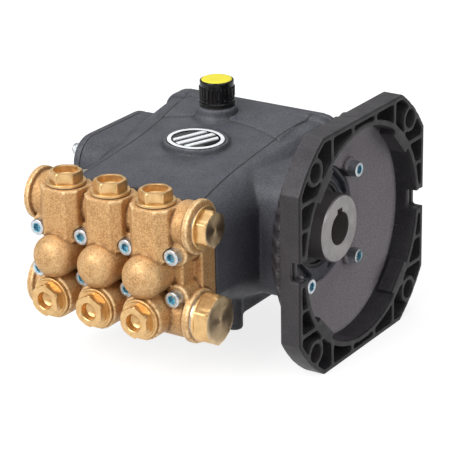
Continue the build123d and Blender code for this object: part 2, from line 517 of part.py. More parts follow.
with BuildPart() as manifold:
    # Rear plate and body
    with BuildSketch(front_plane(CASE_FRONT, MID_X, -2.0)):
        RectangleRounded(2 * (PITCH + HEAD_SIDE), HEAD_HEIGHT, 12.0)
    extrude(amount=HEAD_PLATE)
    with BuildSketch(front_plane(CASE_FRONT)):
        Rectangle(3 * PITCH + 6.0, 62.0)
    extrude(amount=HEAD_SEAT - CASE_FRONT - 4.0)
    bar([front_plane(CASE_FRONT, x, z) for x, z in HEAD_SCREW_PLACES], 9.5, HEAD_SEAT - CASE_FRONT)
    # Chamber domes
    with Locations([front_plane(CASE_FRONT, x) for x in PLUNGER_X]):
        add(dome.part)
    # Outlet towers with chamfered corners
    with BuildSketch([top_plane(12.0, x, -TOWER_AXIS) for x in PLUNGER_X]):
        Rectangle(TOWER_WIDTH, TOWER_WIDTH)
        Rectangle(TOWER_WIDTH * 1.12, TOWER_WIDTH * 1.12, rotation=45, mode=Mode.INTERSECT)
    extrude(amount=TOWER_TOP - 12.0)
    # Inlet branches
    bar([front_plane(CASE_FRONT, x, INLET_BRANCH_Z) for x in PLUNGER_X], INLET_BRANCH_R,
        INLET_BRANCH_FACE - CASE_FRONT)
    # Galleries across the head
    bar(at_left(OUTLET_AXIS), TOWER_TOP - OUTLET_AXIS[1] - 0.5, 2 * PORT_HALF_SPAN)
    bar([at_left(OUTLET_AXIS), at_left(OUTLET_AXIS, PLUNGER_X[2] + TOWER_WIDTH / 2)], 19.0,
        PLUNGER_X[0] - TOWER_WIDTH / 2 - HEAD_LEFT)
    bar([at_left(OUTLET_AXIS), at_left(OUTLET_AXIS, HEAD_RIGHT - 5.0)], 22.0, 5.0)
    bar(at_left(INLET_AXIS), 19.5, 2 * PORT_HALF_SPAN)
    bar([at_left(INLET_AXIS), at_left(INLET_AXIS, HEAD_RIGHT - 6.0)], 22.0, 6.0)
    # Waterways
    bar([front_plane(CASE_FRONT, x) for x in PLUNGER_X], PLUNGER_R + 1.5, CHAMBER_END - CASE_FRONT, Mode.SUBTRACT)
    bar([front_plane(CASE_FRONT + PACKING_DEPTH, x) for x in PLUNGER_X], CHAMBER_R,
        CHAMBER_END - CASE_FRONT - PACKING_DEPTH, Mode.SUBTRACT)
    bar([front_plane(CASE_FRONT, x) for x in PLUNGER_X], PACKING_R, PACKING_DEPTH, Mode.SUBTRACT)
    bar(OUTLET_PLANES, VALVE_BORE_R, TOWER_TOP - OUTLET_SEAT_Z, Mode.SUBTRACT)
    bar([plane.offset(-10.0) for plane in OUTLET_PLANES], PORT_R, 10.0, Mode.SUBTRACT)
    bar(INLET_PLANES, VALVE_BORE_R, INLET_BRANCH_FACE - INLET_SEAT, Mode.SUBTRACT)
    bar([plane.offset(-11.0) for plane in INLET_PLANES], PORT_R, 11.0, Mode.SUBTRACT)
    bar([top_plane(INLET_BRANCH_Z, x, -INLET_SEAT - 9.0) for x in PLUNGER_X], 5.0, -INLET_BRANCH_Z, Mode.SUBTRACT)
    bar(at_left(OUTLET_AXIS), GALLERY_R, 2 * PORT_HALF_SPAN, Mode.SUBTRACT)
    bar(at_left(INLET_AXIS), GALLERY_R, 2 * PORT_HALF_SPAN, Mode.SUBTRACT)
    bar(at_left(OUTLET_AXIS), OUTLET_THREAD_R, PORT_DEPTH, Mode.SUBTRACT)
    bar(at_left(INLET_AXIS), INLET_THREAD_R, PORT_DEPTH, Mode.SUBTRACT)
    bar([at_left(OUTLET_AXIS, HEAD_RIGHT - SIDE_DEPTH), at_left(INLET_AXIS, HEAD_RIGHT - SIDE_DEPTH)],
        SIDE_THREAD_R + FIT, SIDE_DEPTH, Mode.SUBTRACT)
    # Screw holes, with room for the heads over the seats
    bar([front_plane(CASE_FRONT, x, z) for x, z in HEAD_SCREW_PLACES], 4.3, 60.0, Mode.SUBTRACT)
    bar([front_plane(HEAD_SEAT, x, z) for x, z in HEAD_SCREW_PLACES], 7.3, 30.0, Mode.SUBTRACT)
finish_piece(manifold, "manifold")

with BuildPart() as manifold_screws:
    cap_screws([front_plane(HEAD_SEAT, x, z) for x, z in HEAD_SCREW_PLACES], 4.0,
               HEAD_SEAT - CASE_FRONT + HEAD_SCREW_DEPTH - 2.0, 6.6, 8.0)
finish_piece(manifold_screws, "manifold_screws")


def valve_plug(planes, collar_r, collar, flats, height, recess_r, recess, stub):
    """Hexagon plugs whose collars stand on the planes, hollow on top, with a plain stub below."""
    bar(planes, collar_r, collar)
    hexagons([plane.offset(collar) for plane in planes], flats, height, turn=30)
    bar([plane.offset(-stub) for plane in planes], VALVE_BORE_R - FIT, stub)
    bar([plane.offset(collar + height - recess) for plane in planes], recess_r, recess, Mode.SUBTRACT)


STUB = TOWER_TOP - OUTLET_SEAT_Z - SEAT_THICKNESS - CAGE_LENGTH
with BuildPart() as outlet_valve_caps:
    valve_plug(CAP_SEATS, 16.0, 3.0, 24.0, 8.6, 9.6, 7.0, STUB)
finish_piece(outlet_valve_caps, "outlet_valve_caps")

PLUG_STUB = INLET_BRANCH_FACE - INLET_SEAT - SEAT_THICKNESS - CAGE_LENGTH
with BuildPart() as inlet_valve_plugs:
    valve_plug(PLUG_SEATS, 16.5, 4.0, 24.0, 7.0, 7.0, 8.0, PLUG_STUB)
finish_piece(inlet_valve_plugs, "inlet_valve_plugs")

VALVE_PLANES = OUTLET_PLANES + INLET_PLANES
with BuildPart() as valve_seats:
    bar(VALVE_PLANES, VALVE_BORE_R - FIT, SEAT_THICKNESS)
    bar(VALVE_PLANES, 5.5, SEAT_THICKNESS, Mode.SUBTRACT)
finish_piece(valve_seats, "valve_seats")

with BuildPart() as valve_cages:
    cage_planes = [plane.offset(SEAT_THICKNESS) for plane in VALVE_PLANES]
    bar(cage_planes, VALVE_BORE_R - FIT, CAGE_LENGTH)
    bar(cage_planes, PLATE_R + 0.8, CAGE_LENGTH - 2.0, Mode.SUBTRACT)
    for turn in (0, 90):
        with BuildSketch([plane.offset(LIFT + PLATE_THICKNESS) for plane in cage_planes]):
            Rectangle(2 * VALVE_BORE_R, 6.0, rotation=turn)
        extrude(amount=CAGE_LENGTH - 2.0 - LIFT - PLATE_THICKNESS, mode=Mode.SUBTRACT)
finish_piece(valve_cages, "valve_cages")

SPRING_LENGTH = CAGE_LENGTH - 2.0 - PLATE_THICKNESS
WIRE_R = 0.6
COIL_R = 5.0
with BuildPart() as coil:
    with BuildLine(Plane.XY.offset(WIRE_R)) as wire_line:
        Helix((SPRING_LENGTH - 2 * WIRE_R) / 3.5, SPRING_LENGTH - 2 * WIRE_R, COIL_R)
    with BuildSketch(Plane(origin=wire_line.line @ 0, z_dir=wire_line.line % 0)):
        Circle(WIRE_R)
    sweep()
    with Locations((0, 0, WIRE_R), (0, 0, SPRING_LENGTH - WIRE_R)):
        Torus(COIL_R, WIRE_R)


def spring_set(planes):
    """One coil spring on each valve plate."""
    with BuildPart() as springs:
        with Locations([plane.offset(SEAT_THICKNESS + PLATE_THICKNESS) for plane in planes]):
            add(coil.part)
    return springs


outlet_valve_springs = spring_set(OUTLET_PLANES)
finish_piece(outlet_valve_springs, "outlet_valve_springs")
inlet_valve_springs = spring_set(INLET_PLANES)
finish_piece(inlet_valve_springs, "inlet_valve_springs")

for side, planes in (("outlet", OUTLET_PLANES), ("inlet", INLET_PLANES)):
    for number, plane in enumerate(planes, 1):
        with BuildPart() as valve_plate:
            bar(plane.offset(SEAT_THICKNESS), PLATE_R, PLATE_THICKNESS)
        finish_piece(valve_plate, f"{side}_valve_plate_{number}")

OUTLET_PLUG_FLATS = 27.0
INLET_PLUG_FLATS = 38.0
SIDE_WASHER = 1.5
with BuildPart() as side_plug_washers:
    for axis, washer_r in ((OUTLET_AXIS, 17.0), (INLET_AXIS, 19.5)):
        bar(at_left(axis, HEAD_RIGHT), washer_r, SIDE_WASHER)
        bar(at_left(axis, HEAD_RIGHT), SIDE_THREAD_R + FIT, SIDE_WASHER, Mode.SUBTRACT)
finish_piece(side_plug_washers, "side_plug_washers")

with BuildPart() as outlet_side_plug:
    bar(at_left(OUTLET_AXIS, HEAD_RIGHT + SIDE_WASHER), 17.5, 1.6)
    hexagons(at_left(OUTLET_AXIS, HEAD_RIGHT + SIDE_WASHER + 1.6), OUTLET_PLUG_FLATS, 9.0, turn=30)
    bar(at_left(OUTLET_AXIS, HEAD_RIGHT - SIDE_DEPTH + 1.0), SIDE_THREAD_R, SIDE_DEPTH - 1.0 + SIDE_WASHER)
finish_piece(outlet_side_plug, "outlet_side_plug")

with BuildPart() as inlet_side_plug:
    bar(at_left(INLET_AXIS, HEAD_RIGHT + SIDE_WASHER), 20.0, 2.5)
    hexagons(at_left(INLET_AXIS, HEAD_RIGHT + SIDE_WASHER + 2.5), INLET_PLUG_FLATS, 12.5, turn=30)
    bar(at_left(INLET_AXIS, HEAD_RIGHT - SIDE_DEPTH + 1.0), SIDE_THREAD_R, SIDE_DEPTH - 1.0 + SIDE_WASHER)
finish_piece(inlet_side_plug, "inlet_side_plug")

OIL_SEAL_WIDTH = 4.0
PACKING_WIDTH = 5.5
with BuildPart() as plunger_packings:
    for row in range(2):
        planes = [front_plane(CASE_FRONT + OIL_SEAL_WIDTH + 0.5 + row * (PACKING_WIDTH + 0.3), x) for x in PLUNGER_X]
        bar(planes, PACKING_R - RUN, PACKING_WIDTH)
        bar(planes, PLUNGER_R + RUN, PACKING_WIDTH, Mode.SUBTRACT)
finish_piece(plunger_packings, "plunger_packings")

# ================================================================ drive parts
FORK_BACK = 10.0
PIN_R = 4.5
EYE_WALL = 2.5
SMALL_END_WIDTH = 11.0
FORK_SLOT = SMALL_END_WIDTH + 2 * CLEAR
JOURNAL_R = 18.0
JOURNAL_WIDTH = 22.0
BIG_END_WIDTH = 20.0
BIG_END_R = 25.0
NECK_SHAFT_R = 12.0
LUG_HALF = 6.5
LUG_SPAN = 62.0
CAP_SCREW_OFFSET = 27.5
CAP_SCREW_R = 2.5

with BuildPart() as crankshaft:
    bar(side_plane(SHOULDER_X), HUB_R, HUB_FACE_X - SHOULDER_X)
    bar(side_plane(DRIVE_BEARING[3]), DRIVE_BEARING[0] - RUN / 2, DRIVE_BEARING[2])
    bar(side_plane(DRIVE_BEARING[3] - 4.0), 31.0, 4.0)
    bar(side_plane(DRIVE_BEARING[3] - 20.0), 22.0, 16.0)
    bar(side_plane(FREE_BEARING[3]), FREE_BEARING[0] - RUN / 2, FREE_BEARING[2])
    bar(side_plane(FREE_BEARING[3] + FREE_BEARING[2]), 18.0, 6.0)
    bar(side_plane(FREE_BEARING[3] + 4.0), NECK_SHAFT_R, DRIVE_BEARING[3] - FREE_BEARING[3] - 8.0)
    for x, phase in zip(PLUNGER_X, PHASES):
        pin_y, pin_z = crank_offset(phase)
        bar(side_plane(x - JOURNAL_WIDTH / 2, pin_y, pin_z), JOURNAL_R, JOURNAL_WIDTH)
    bar(side_plane(HUB_FACE_X - SHAFT_BORE_DEPTH), SHAFT_BORE_R, SHAFT_BORE_DEPTH, Mode.SUBTRACT)
    with Locations((HUB_FACE_X - SHAFT_BORE_DEPTH / 2, 0, SHAFT_BORE_R)):
        Box(SHAFT_BORE_DEPTH, KEY_WIDTH, 2 * KEY_HEIGHT, mode=Mode.SUBTRACT)
    chamfer(crankshaft.faces().sort_by(Axis.X)[-1].outer_wire().edges(), 1.0)
finish_piece(crankshaft, "crankshaft")


def race_groove(bearing, ball_r, pitch_r):
    """Cut the ball groove round a bearing's race."""
    with BuildSketch(Plane.XY) as groove:
        with Locations((bearing[3] + bearing[2] / 2, pitch_r)):
            Circle(ball_r + RUN)
    revolve(groove.sketch, axis=Axis.X, mode=Mode.SUBTRACT)


BEARINGS = (
    # bearing, ball radius, ball circle radius, race edge radii, number of balls
    (DRIVE_BEARING, 5.0, 36.25, (33.0, 39.5), 13),
    (FREE_BEARING, 4.5, 23.0, (20.0, 26.0), 9),
)

with BuildPart() as bearing_outer_rings:
    for bearing, ball_r, pitch_r, edges, balls in BEARINGS:
        bar(side_plane(bearing[3]), bearing[1], bearing[2])
        bar(side_plane(bearing[3]), edges[1], bearing[2], Mode.SUBTRACT)
        race_groove(bearing, ball_r, pitch_r)
finish_piece(bearing_outer_rings, "bearing_outer_rings")

with BuildPart() as bearing_inner_rings:
    for bearing, ball_r, pitch_r, edges, balls in BEARINGS:
        bar(side_plane(bearing[3]), edges[0], bearing[2])
        bar(side_plane(bearing[3]), bearing[0], bearing[2], Mode.SUBTRACT)
        race_groove(bearing, ball_r, pitch_r)
finish_piece(bearing_inner_rings, "bearing_inner_rings")

for (bearing, ball_r, pitch_r, edges, balls), name in zip(BEARINGS, ("drive", "free")):
    middle = bearing[3] + bearing[2] / 2
    turns = [radians(360 / balls * (step + 0.5)) for step in range(balls)]
    pockets = [Plane(origin=(middle, 0, 0), x_dir=(1, 0, 0), z_dir=(0, cos(turn), sin(turn))) for turn in turns]
    with BuildPart() as ball_set:
        bar(side_plane(middle - ball_r - 1.0), edges[1] - 1.0, 2 * ball_r + 2.0)
        bar(side_plane(middle - ball_r - 1.0), edges[0] + 1.0, 2 * ball_r + 2.0, Mode.SUBTRACT)
        bar(pockets, ball_r + 0.2, bearing[1], Mode.SUBTRACT)
        with Locations([pocket.offset(pitch_r) for pocket in pockets]):
            Sphere(ball_r)
    finish_piece(ball_set, f"{name}_bearing_balls")

with BuildPart() as shaft_oil_seal:
    seal_plane = side_plane(SHOULDER_X + 0.5)
    bar(seal_plane, SEAL_R, SEAL_WIDTH)
    bar(seal_plane, HUB_R + RUN, SEAL_WIDTH, Mode.SUBTRACT)
    with BuildSketch(seal_plane.offset(SEAL_WIDTH)):
        Circle(33.5)
        Circle(30.5, mode=Mode.SUBTRACT)
    extrude(amount=-2.0, mode=Mode.SUBTRACT)
finish_piece(shaft_oil_seal, "shaft_oil_seal")

with BuildPart() as plunger_oil_seals:
    planes = [front_plane(CASE_FRONT + 0.2, x) for x in PLUNGER_X]
    bar(planes, PACKING_R - RUN, OIL_SEAL_WIDTH)
    bar(planes, PLUNGER_R + RUN, OIL_SEAL_WIDTH, Mode.SUBTRACT)
finish_piece(plunger_oil_seals, "plunger_oil_seals")

for number, (x, phase) in enumerate(zip(PLUNGER_X, PHASES), 1):
    pin_y, pin_z = crank_offset(phase)
    wrist = ROD_LENGTH - pin_y
    big_end = side_plane(x - BIG_END_WIDTH / 2, pin_y, pin_z)
    small_end = side_plane(x - SMALL_END_WIDTH / 2, pin_y - ROD_LENGTH, pin_z)
    slot_height = 2 * (PIN_R + THROW + RUN)
    cap_screw_planes = [rear_plane(LUG_HALF - pin_y, x, pin_z + side * CAP_SCREW_OFFSET) for side in (-1, 1)]

    with BuildPart() as conrod:
        bar(big_end, BIG_END_R, BIG_END_WIDTH)
        with BuildSketch(big_end):
            Rectangle(2 * LUG_HALF, LUG_SPAN)
        extrude(amount=BIG_END_WIDTH)
        bar(cap_screw_planes, CAP_SCREW_R + FIT, 2 * LUG_HALF, Mode.SUBTRACT)
        with BuildSketch(small_end):
            with BuildLine():
                Polyline((2.0, 10.0), (ROD_LENGTH - BIG_END_R + 4.0, 14.0),
                         (ROD_LENGTH - BIG_END_R + 4.0, -14.0), (2.0, -10.0), close=True)
            make_face()
            SlotOverall(slot_height + 2 * EYE_WALL, 2 * (PIN_R + EYE_WALL), rotation=90)
        extrude(amount=SMALL_END_WIDTH)
        with BuildSketch(small_end):
            SlotOverall(slot_height, 2 * (PIN_R + RUN), rotation=90)
        extrude(amount=SMALL_END_WIDTH, mode=Mode.SUBTRACT)
        bar(big_end, JOURNAL_R + RUN, BIG_END_WIDTH, Mode.SUBTRACT)
        split(bisect_by=Plane.XZ.offset(-pin_y), keep=Keep.TOP)
    finish_piece(conrod, f"conrod_{number}")

    with BuildPart() as conrod_cap:
        bar(big_end, BIG_END_R, BIG_END_WIDTH)
        with BuildSketch(big_end):
            Rectangle(2 * LUG_HALF, LUG_SPAN)
        extrude(amount=BIG_END_WIDTH)
        bar(big_end, JOURNAL_R + RUN, BIG_END_WIDTH, Mode.SUBTRACT)
        bar(cap_screw_planes, CAP_SCREW_R + FIT, 2 * LUG_HALF, Mode.SUBTRACT)
        split(bisect_by=Plane.XZ.offset(-pin_y), keep=Keep.BOTTOM)
    finish_piece(conrod_cap, f"conrod_cap_{number}")

    with BuildPart() as cap_screw_pair:
        cap_screws([plane.offset(2 * LUG_HALF) for plane in cap_screw_planes], CAP_SCREW_R, 2 * LUG_HALF - 1.0, 3.4, 4.0)
    finish_piece(cap_screw_pair, f"conrod_cap_screws_{number}")

    with BuildPart() as crosshead:
        bar(front_plane(wrist - FORK_BACK, x), GUIDE_R, CROSSHEAD_END + FORK_BACK)
        with Locations((x, -wrist, 0)):
            Box(FORK_SLOT, 2 * FORK_BACK, 3 * GUIDE_R, mode=Mode.SUBTRACT)
        bar(side_plane(x - GUIDE_R, -wrist), PIN_R, 2 * GUIDE_R, Mode.SUBTRACT)
    finish_piece(crosshead, f"crosshead_{number}")

    with BuildPart() as wrist_pin:
        bar(side_plane(x - 15.5, -wrist), PIN_R, 31.0)
    finish_piece(wrist_pin, f"wrist_pin_{number}")

    with BuildPart() as plunger:
        bar(front_plane(wrist + CROSSHEAD_END, x), PLUNGER_R, CASE_FRONT + PLUNGER_LEAD - ROD_LENGTH - THROW - CROSSHEAD_END)
        fillet(plunger.faces().sort_by(Axis.Y)[0].edges(), 1.0)
    finish_piece(plunger, f"plunger_{number}")

    with BuildPart() as slinger_ring:
        ring = side_plane(x - 18.0, pin_y / 2, pin_z / 2)
        bar(ring, 20.0, 4.0)
        bar(ring, NECK_SHAFT_R + THROW / 2 + FIT, 4.0, Mode.SUBTRACT)
    finish_piece(slinger_ring, f"slinger_ring_{number}")
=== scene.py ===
"""Three-plunger pressure washer pump with a motor bell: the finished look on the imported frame.

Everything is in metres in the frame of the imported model. The origin is on the shaft axis at the
face of the motor bell, +X leaves the bell towards the motor, -Y points at the brass valve head
and +Z is up. Sizes of the classes are in millimetres and are scaled when a mesh is made.
"""
import json
import logging
import math
from collections.abc import Callable
from dataclasses import dataclass, field
from enum import Enum

import bmesh
import bpy
import numpy as np
from mathutils import Matrix, Vector
from mathutils.bvhtree import BVHTree

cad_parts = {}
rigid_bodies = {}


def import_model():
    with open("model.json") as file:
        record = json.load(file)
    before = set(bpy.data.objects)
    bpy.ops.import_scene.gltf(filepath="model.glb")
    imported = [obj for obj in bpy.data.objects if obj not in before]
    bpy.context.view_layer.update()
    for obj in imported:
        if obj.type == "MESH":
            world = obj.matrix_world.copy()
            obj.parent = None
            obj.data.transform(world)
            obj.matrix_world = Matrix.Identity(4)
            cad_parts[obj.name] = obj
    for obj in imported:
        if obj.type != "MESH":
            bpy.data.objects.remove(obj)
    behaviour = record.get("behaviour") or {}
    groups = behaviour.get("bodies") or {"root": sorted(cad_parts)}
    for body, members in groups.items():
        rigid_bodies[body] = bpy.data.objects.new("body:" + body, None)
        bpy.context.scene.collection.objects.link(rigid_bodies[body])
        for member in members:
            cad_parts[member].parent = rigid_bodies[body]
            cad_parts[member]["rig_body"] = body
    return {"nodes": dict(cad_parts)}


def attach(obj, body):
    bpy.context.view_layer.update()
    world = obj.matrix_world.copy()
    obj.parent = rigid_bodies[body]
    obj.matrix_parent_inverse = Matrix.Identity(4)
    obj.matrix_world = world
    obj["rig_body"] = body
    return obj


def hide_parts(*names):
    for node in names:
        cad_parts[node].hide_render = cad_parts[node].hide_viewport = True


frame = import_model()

LOG = logging.getLogger("pump")
MM = 0.001
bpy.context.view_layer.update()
MID_X = -145.0
PITCH = 43.0
PLUNGER_X = (MID_X - PITCH, MID_X, MID_X + PITCH)
SHARP_ANGLE = math.radians(32.0)
PATCH_SPAN = (0.3, 0.7)
SPECK_SPAN = (0.36, 0.64)
SPECK_ROUGHNESS = 0.7
AXIS_HOLE = 0.05
RIB_STEPS = 8
RIB_WIDTH = 3

Colour = tuple[float, float, float]
Triple = tuple[float, float, float]
Socket = bpy.types.NodeSocket
Material = bpy.types.Material
Mesh = bpy.types.Mesh
Piece = bpy.types.Object
Work = bmesh.types.BMesh
Point = bmesh.types.BMVert


# ------------------------------------------------------------------ finishes
class ShaderGraph:
    """One node material in the making."""

    def __init__(self, name: str) -> None:
        """Start a material.

        Args:
            name: name of the material.
        """
        self.material = bpy.data.materials.new(name)
        self.material.use_nodes = True
        self.nodes = self.material.node_tree.nodes
        self.links = self.material.node_tree.links
        self.shader = self.nodes["Principled BSDF"]
        self.place = self.nodes.new("ShaderNodeTexCoord").outputs["Object"]

    def set(self, socket: str, value: float | Colour) -> None:
        """Give one of the shader's own sockets a fixed number or colour."""
        self.shader.inputs[socket].default_value = (*value, 1.0) if isinstance(value, tuple) else value

    def join(self, source: Socket, socket: str) -> None:
        """Lead a node's output into one of the shader's sockets."""
        self.links.new(source, self.shader.inputs[socket])

    def noise(self, size: float, detail: float = 3.0, roughness: float = 0.55,
              place: Socket | None = None) -> Socket:
        """Add a noise pattern.

        Args:
            size: width of one patch in millimetres.
            detail: number of finer layers.
            roughness: strength of the finer layers.
            place: coordinates, or the object's own when left out.

        Returns:
            The pattern's value, from 0 to 1.
        """
        node = self.nodes.new("ShaderNodeTexNoise")
        node.inputs["Scale"].default_value = 1.0 / (size * MM)
        node.inputs["Detail"].default_value = detail
        node.inputs["Roughness"].default_value = roughness
        self.links.new(place or self.place, node.inputs["Vector"])
        return node.outputs["Fac"]

    def attribute(self, name: str, vector: bool = False) -> Socket:
        """Read a value that is stored on the mesh.

        Args:
            name: name of the attribute.
            vector: whether the attribute is a direction.

        Returns:
            The stored number or direction.
        """
        node = self.nodes.new("ShaderNodeAttribute")
        node.attribute_name = name
        return node.outputs["Vector" if vector else "Fac"]

    def span(self, value: Socket, start: float, end: float, low: float = 0.0,
             high: float = 1.0) -> Socket:
        """Stretch a value from one range to another.

        Args:
            value: the value to stretch.
            start: value that becomes low.
            end: value that becomes high.
            low: lowest result.
            high: highest result.

        Returns:
            The stretched value.
        """
        node = self.nodes.new("ShaderNodeMapRange")
        node.interpolation_type = "SMOOTHSTEP"
        for socket, number in (("From Min", start), ("From Max", end), ("To Min", low), ("To Max", high)):
            node.inputs[socket].default_value = number
        self.links.new(value, node.inputs["Value"])
        return node.outputs["Result"]

    def compute(self, operation: str, first: Socket, second: Socket | float) -> Socket:
        """Work out one number from two.

        Args:
            operation: name of the sum, such as MULTIPLY.
            first: first value.
            second: second value or a fixed number.

        Returns:
            The result.
        """
        node = self.nodes.new("ShaderNodeMath")
        node.operation = operation
        self.links.new(first, node.inputs[0])
        if isinstance(second, float):
            node.inputs[1].default_value = second
        else:
            self.links.new(second, node.inputs[1])
        return node.outputs["Value"]

    def mix(self, share: Socket, first: Socket | Colour, second: Socket | Colour) -> Socket:
        """Mix two colours.

        Args:
            share: share of the second colour.
            first: first colour.
            second: second colour.

        Returns:
            The mixed colour.
        """
        node = self.nodes.new("ShaderNodeMix")
        node.data_type = "RGBA"
        self.links.new(share, node.inputs["Factor"])
        for socket, colour in ((node.inputs[6], first), (node.inputs[7], second)):
            if isinstance(colour, tuple):
                socket.default_value = (*colour, 1.0)
            else:
                self.links.new(colour, socket)
        return node.outputs[2]

    def along(self, axis: int) -> Socket:
        """Read one coordinate of the surface in metres, 0 for X, 1 for Y and 2 for Z."""
        return self._part(self.place, axis)

    def facing(self, axis: int) -> Socket:
        """Read how far the surface faces along one axis, 0 for X, 1 for Y and 2 for Z."""
        return self._part(self.place.node.outputs["Normal"], axis)

    def _part(self, vector: Socket, axis: int) -> Socket:
        """Read one number of a vector.

        Args:
            vector: the vector.
            axis: place of the number in it.

        Returns:
            The number.
        """
        node = self.nodes.new("ShaderNodeSeparateXYZ")
        self.links.new(vector, node.inputs[0])
        return node.outputs[axis]

    def bump(self, layers: list[tuple[Socket, float]]) -> None:
        """Lay relief over the surface.

        Args:
            layers: each layer's height pattern and its depth in millimetres.
        """
        normal = None
        for height, depth in layers:
            node = self.nodes.new("ShaderNodeBump")
            node.inputs["Distance"].default_value = depth * MM
            self.links.new(height, node.inputs["Height"])
            if normal is not None:
                self.links.new(normal, node.inputs["Normal"])
            normal = node.outputs["Normal"]
        self.join(normal, "Normal")


def dimmed(colour: Colour, share: float) -> Colour:
    """Darken a colour to a share of its strength."""
    return tuple(share * value for value in colour)


@dataclass(frozen=True)
class Finish:
    """A grained surface with uneven colour, convex edges lightened partly by wear and partly by painted
    highlight, and painted shade in its corners.
    """

    name: str
    dark: Colour
    light: Colour
    metal: float = 0.0
    rough: tuple[float, float] = (0.4, 0.55)
    mottle: float = 18.0
    grain: float = 0.9
    grain_depth: float = 0.05
    grain_share: float = 0.35
    wave_depth: float = 0.12
    # Colour and share of the lighter convex edges: partly wear, partly painted highlight.
    worn_and_highlight_colour: Colour = (0.3, 0.3, 0.3)
    wear_and_highlight: float = 0.0
    # Colour and share of the painted shade that darkens creases and corners.
    corner: Colour = (0.01, 0.01, 0.01)
    crease_shade: float = 0.0
    specular: float = 0.5
    coat: float = 0.0
    coat_rough: float = 0.12

    def colour(self, graph: ShaderGraph) -> Socket:
        """Mix the surface colour.

        Args:
            graph: the material in the making.

        Returns:
            The colour.
        """
        patch = graph.span(graph.noise(self.mottle, 4.0), *PATCH_SPAN)
        speck = graph.span(graph.noise(self.grain, 2.0, SPECK_ROUGHNESS), *SPECK_SPAN)
        share = graph.compute("ADD", graph.compute("MULTIPLY", patch, 1.0 - self.grain_share),
                              graph.compute("MULTIPLY", speck, self.grain_share))
        colour = graph.mix(share, self.dark, self.light)
        # Lighter convex edges: partly wear, partly painted highlight.
        if self.wear_and_highlight:
            ragged = graph.compute("MULTIPLY", graph.attribute("edge"),
                                   graph.span(graph.noise(3.0, 4.0), 0.3, 0.6))
            colour = graph.mix(graph.compute("MULTIPLY", ragged, self.wear_and_highlight), colour, self.worn_and_highlight_colour)
        # Painted shade: darken creases and corners.
        if self.crease_shade:
            crease_shade_share = graph.compute("MULTIPLY", graph.attribute("crease"), self.crease_shade)
            colour = graph.mix(crease_shade_share, colour, self.corner)
        return colour

    def relief(self, graph: ShaderGraph) -> list[tuple[Socket, float]]:
        """Choose the relief layers, as height patterns with their depths in millimetres."""
        return [(graph.noise(self.mottle * 0.4, 2.0), self.wave_depth),
                (graph.noise(self.grain, 3.0), self.grain_depth)]

    def dress(self, graph: ShaderGraph) -> None:
        """Fill in the material's colour, gloss and relief.

        Args:
            graph: the material in the making.
        """
        graph.join(self.colour(graph), "Base Color")
        graph.join(graph.span(graph.noise(self.mottle * 0.6, 3.0), *PATCH_SPAN, *self.rough), "Roughness")
        graph.set("Metallic", self.metal)
        graph.set("Specular IOR Level", self.specular)
        if self.coat:
            graph.set("Coat Weight", self.coat)
            graph.set("Coat Roughness", self.coat_rough)
        graph.bump(self.relief(graph))

    def material(self) -> Material:
        """Make the material, or find it when it has been made already.

        Returns:
            The finished material.
        """
        title = f"{self.name}_finish"
        found = bpy.data.materials.get(title)
        if found is not None:
            return found
        graph = ShaderGraph(title)
        self.dress(graph)
        return graph.material


@dataclass(frozen=True)
class TurnedFinish(Finish):
    """Metal turned on a lathe, with fine rings and highlights that fan out from the axis."""

    ring: float = 0.35
    ring_depth: float = 0.02
    spread: float = 0.6

    def relief(self, graph: ShaderGraph) -> list[tuple[Socket, float]]:
        """Choose the relief layers.

        Args:
            graph: the material in the making.

        Returns:
            Height patterns with their depths in millimetres.
        """
        node = graph.nodes.new("ShaderNodeCombineXYZ")
        graph.links.new(graph.attribute("reach"), node.inputs[0])
        rings = graph.noise(self.ring, 2.0, 0.6, node.outputs[0])
        return [*super().relief(graph), (rings, self.ring_depth)]

    def dress(self, graph: ShaderGraph) -> None:
        """Fill in the material, with its highlights drawn out round the axis.

        Args:
            graph: the material in the making.
        """
        super().dress(graph)
        graph.set("Anisotropic", self.spread)
        graph.join(graph.attribute("turning", vector=True), "Tangent")


@dataclass(frozen=True)
class ShaftFinish(Finish):
    """A steel shaft whose end face is ground bright and whose barrel is left dark."""

    face_x: float = -23.7
    barrel: Colour = (0.26, 0.24, 0.235)

    def colour(self, graph: ShaderGraph) -> Socket:
        """Mix the surface colour, darker behind the end face."""
        face = graph.span(graph.along(0), (self.face_x - 0.1) * MM, (self.face_x + 0.1) * MM)
        return graph.mix(face, self.barrel, super().colour(graph))


@dataclass(frozen=True)
class BellFinish(Finish):
    """Cast metal with a dark front rim, and painted light that makes the hollow behind it paler."""

    rim_x: float = -1.2
    rim: Colour = (0.012, 0.011, 0.013)
    blend: float = 0.4
    # Painted light: the hollow's pale colour, where it starts and how far behind the front.
    painted_light_r: float = 93.0
    hollow: Colour = (0.34, 0.315, 0.34)
    painted_light_x: float = -15.0

    def colour(self, graph: ShaderGraph) -> Socket:
        """Mix the surface colour, dark on the front rim, with painted light making the hollow pale.

        Args:
            graph: the material in the making.

        Returns:
            The colour.
        """
        speck = graph.span(graph.noise(self.grain, 2.0, SPECK_ROUGHNESS), 0.3, 0.75)
        height = graph.along(0)
        front = graph.span(height, (self.rim_x - self.blend) * MM, (self.rim_x + self.blend) * MM)
        square = graph.compute("ADD", graph.compute("POWER", graph.along(1), 2.0),
                               graph.compute("POWER", graph.along(2), 2.0))
        reach = graph.compute("POWER", square, 0.5)
        inside = graph.span(reach, self.painted_light_r * MM, (self.painted_light_r - 3.0) * MM)
        behind = graph.span(height, (self.painted_light_x + 1.0) * MM, (self.painted_light_x - 1.0) * MM)
        deep = graph.compute("MULTIPLY", inside, behind)
        # Painted light: surfaces deep in the hollow that face the motor are made paler.
        painted_light_share = graph.compute("MULTIPLY", deep, graph.span(graph.facing(0), 0.02, 0.12))
        hollow = graph.mix(speck, dimmed(self.hollow, 0.72), self.hollow)
        shade = graph.mix(painted_light_share, super().colour(graph), hollow)
        return graph.mix(front, shade, graph.mix(speck, dimmed(self.rim, 0.4), self.rim))


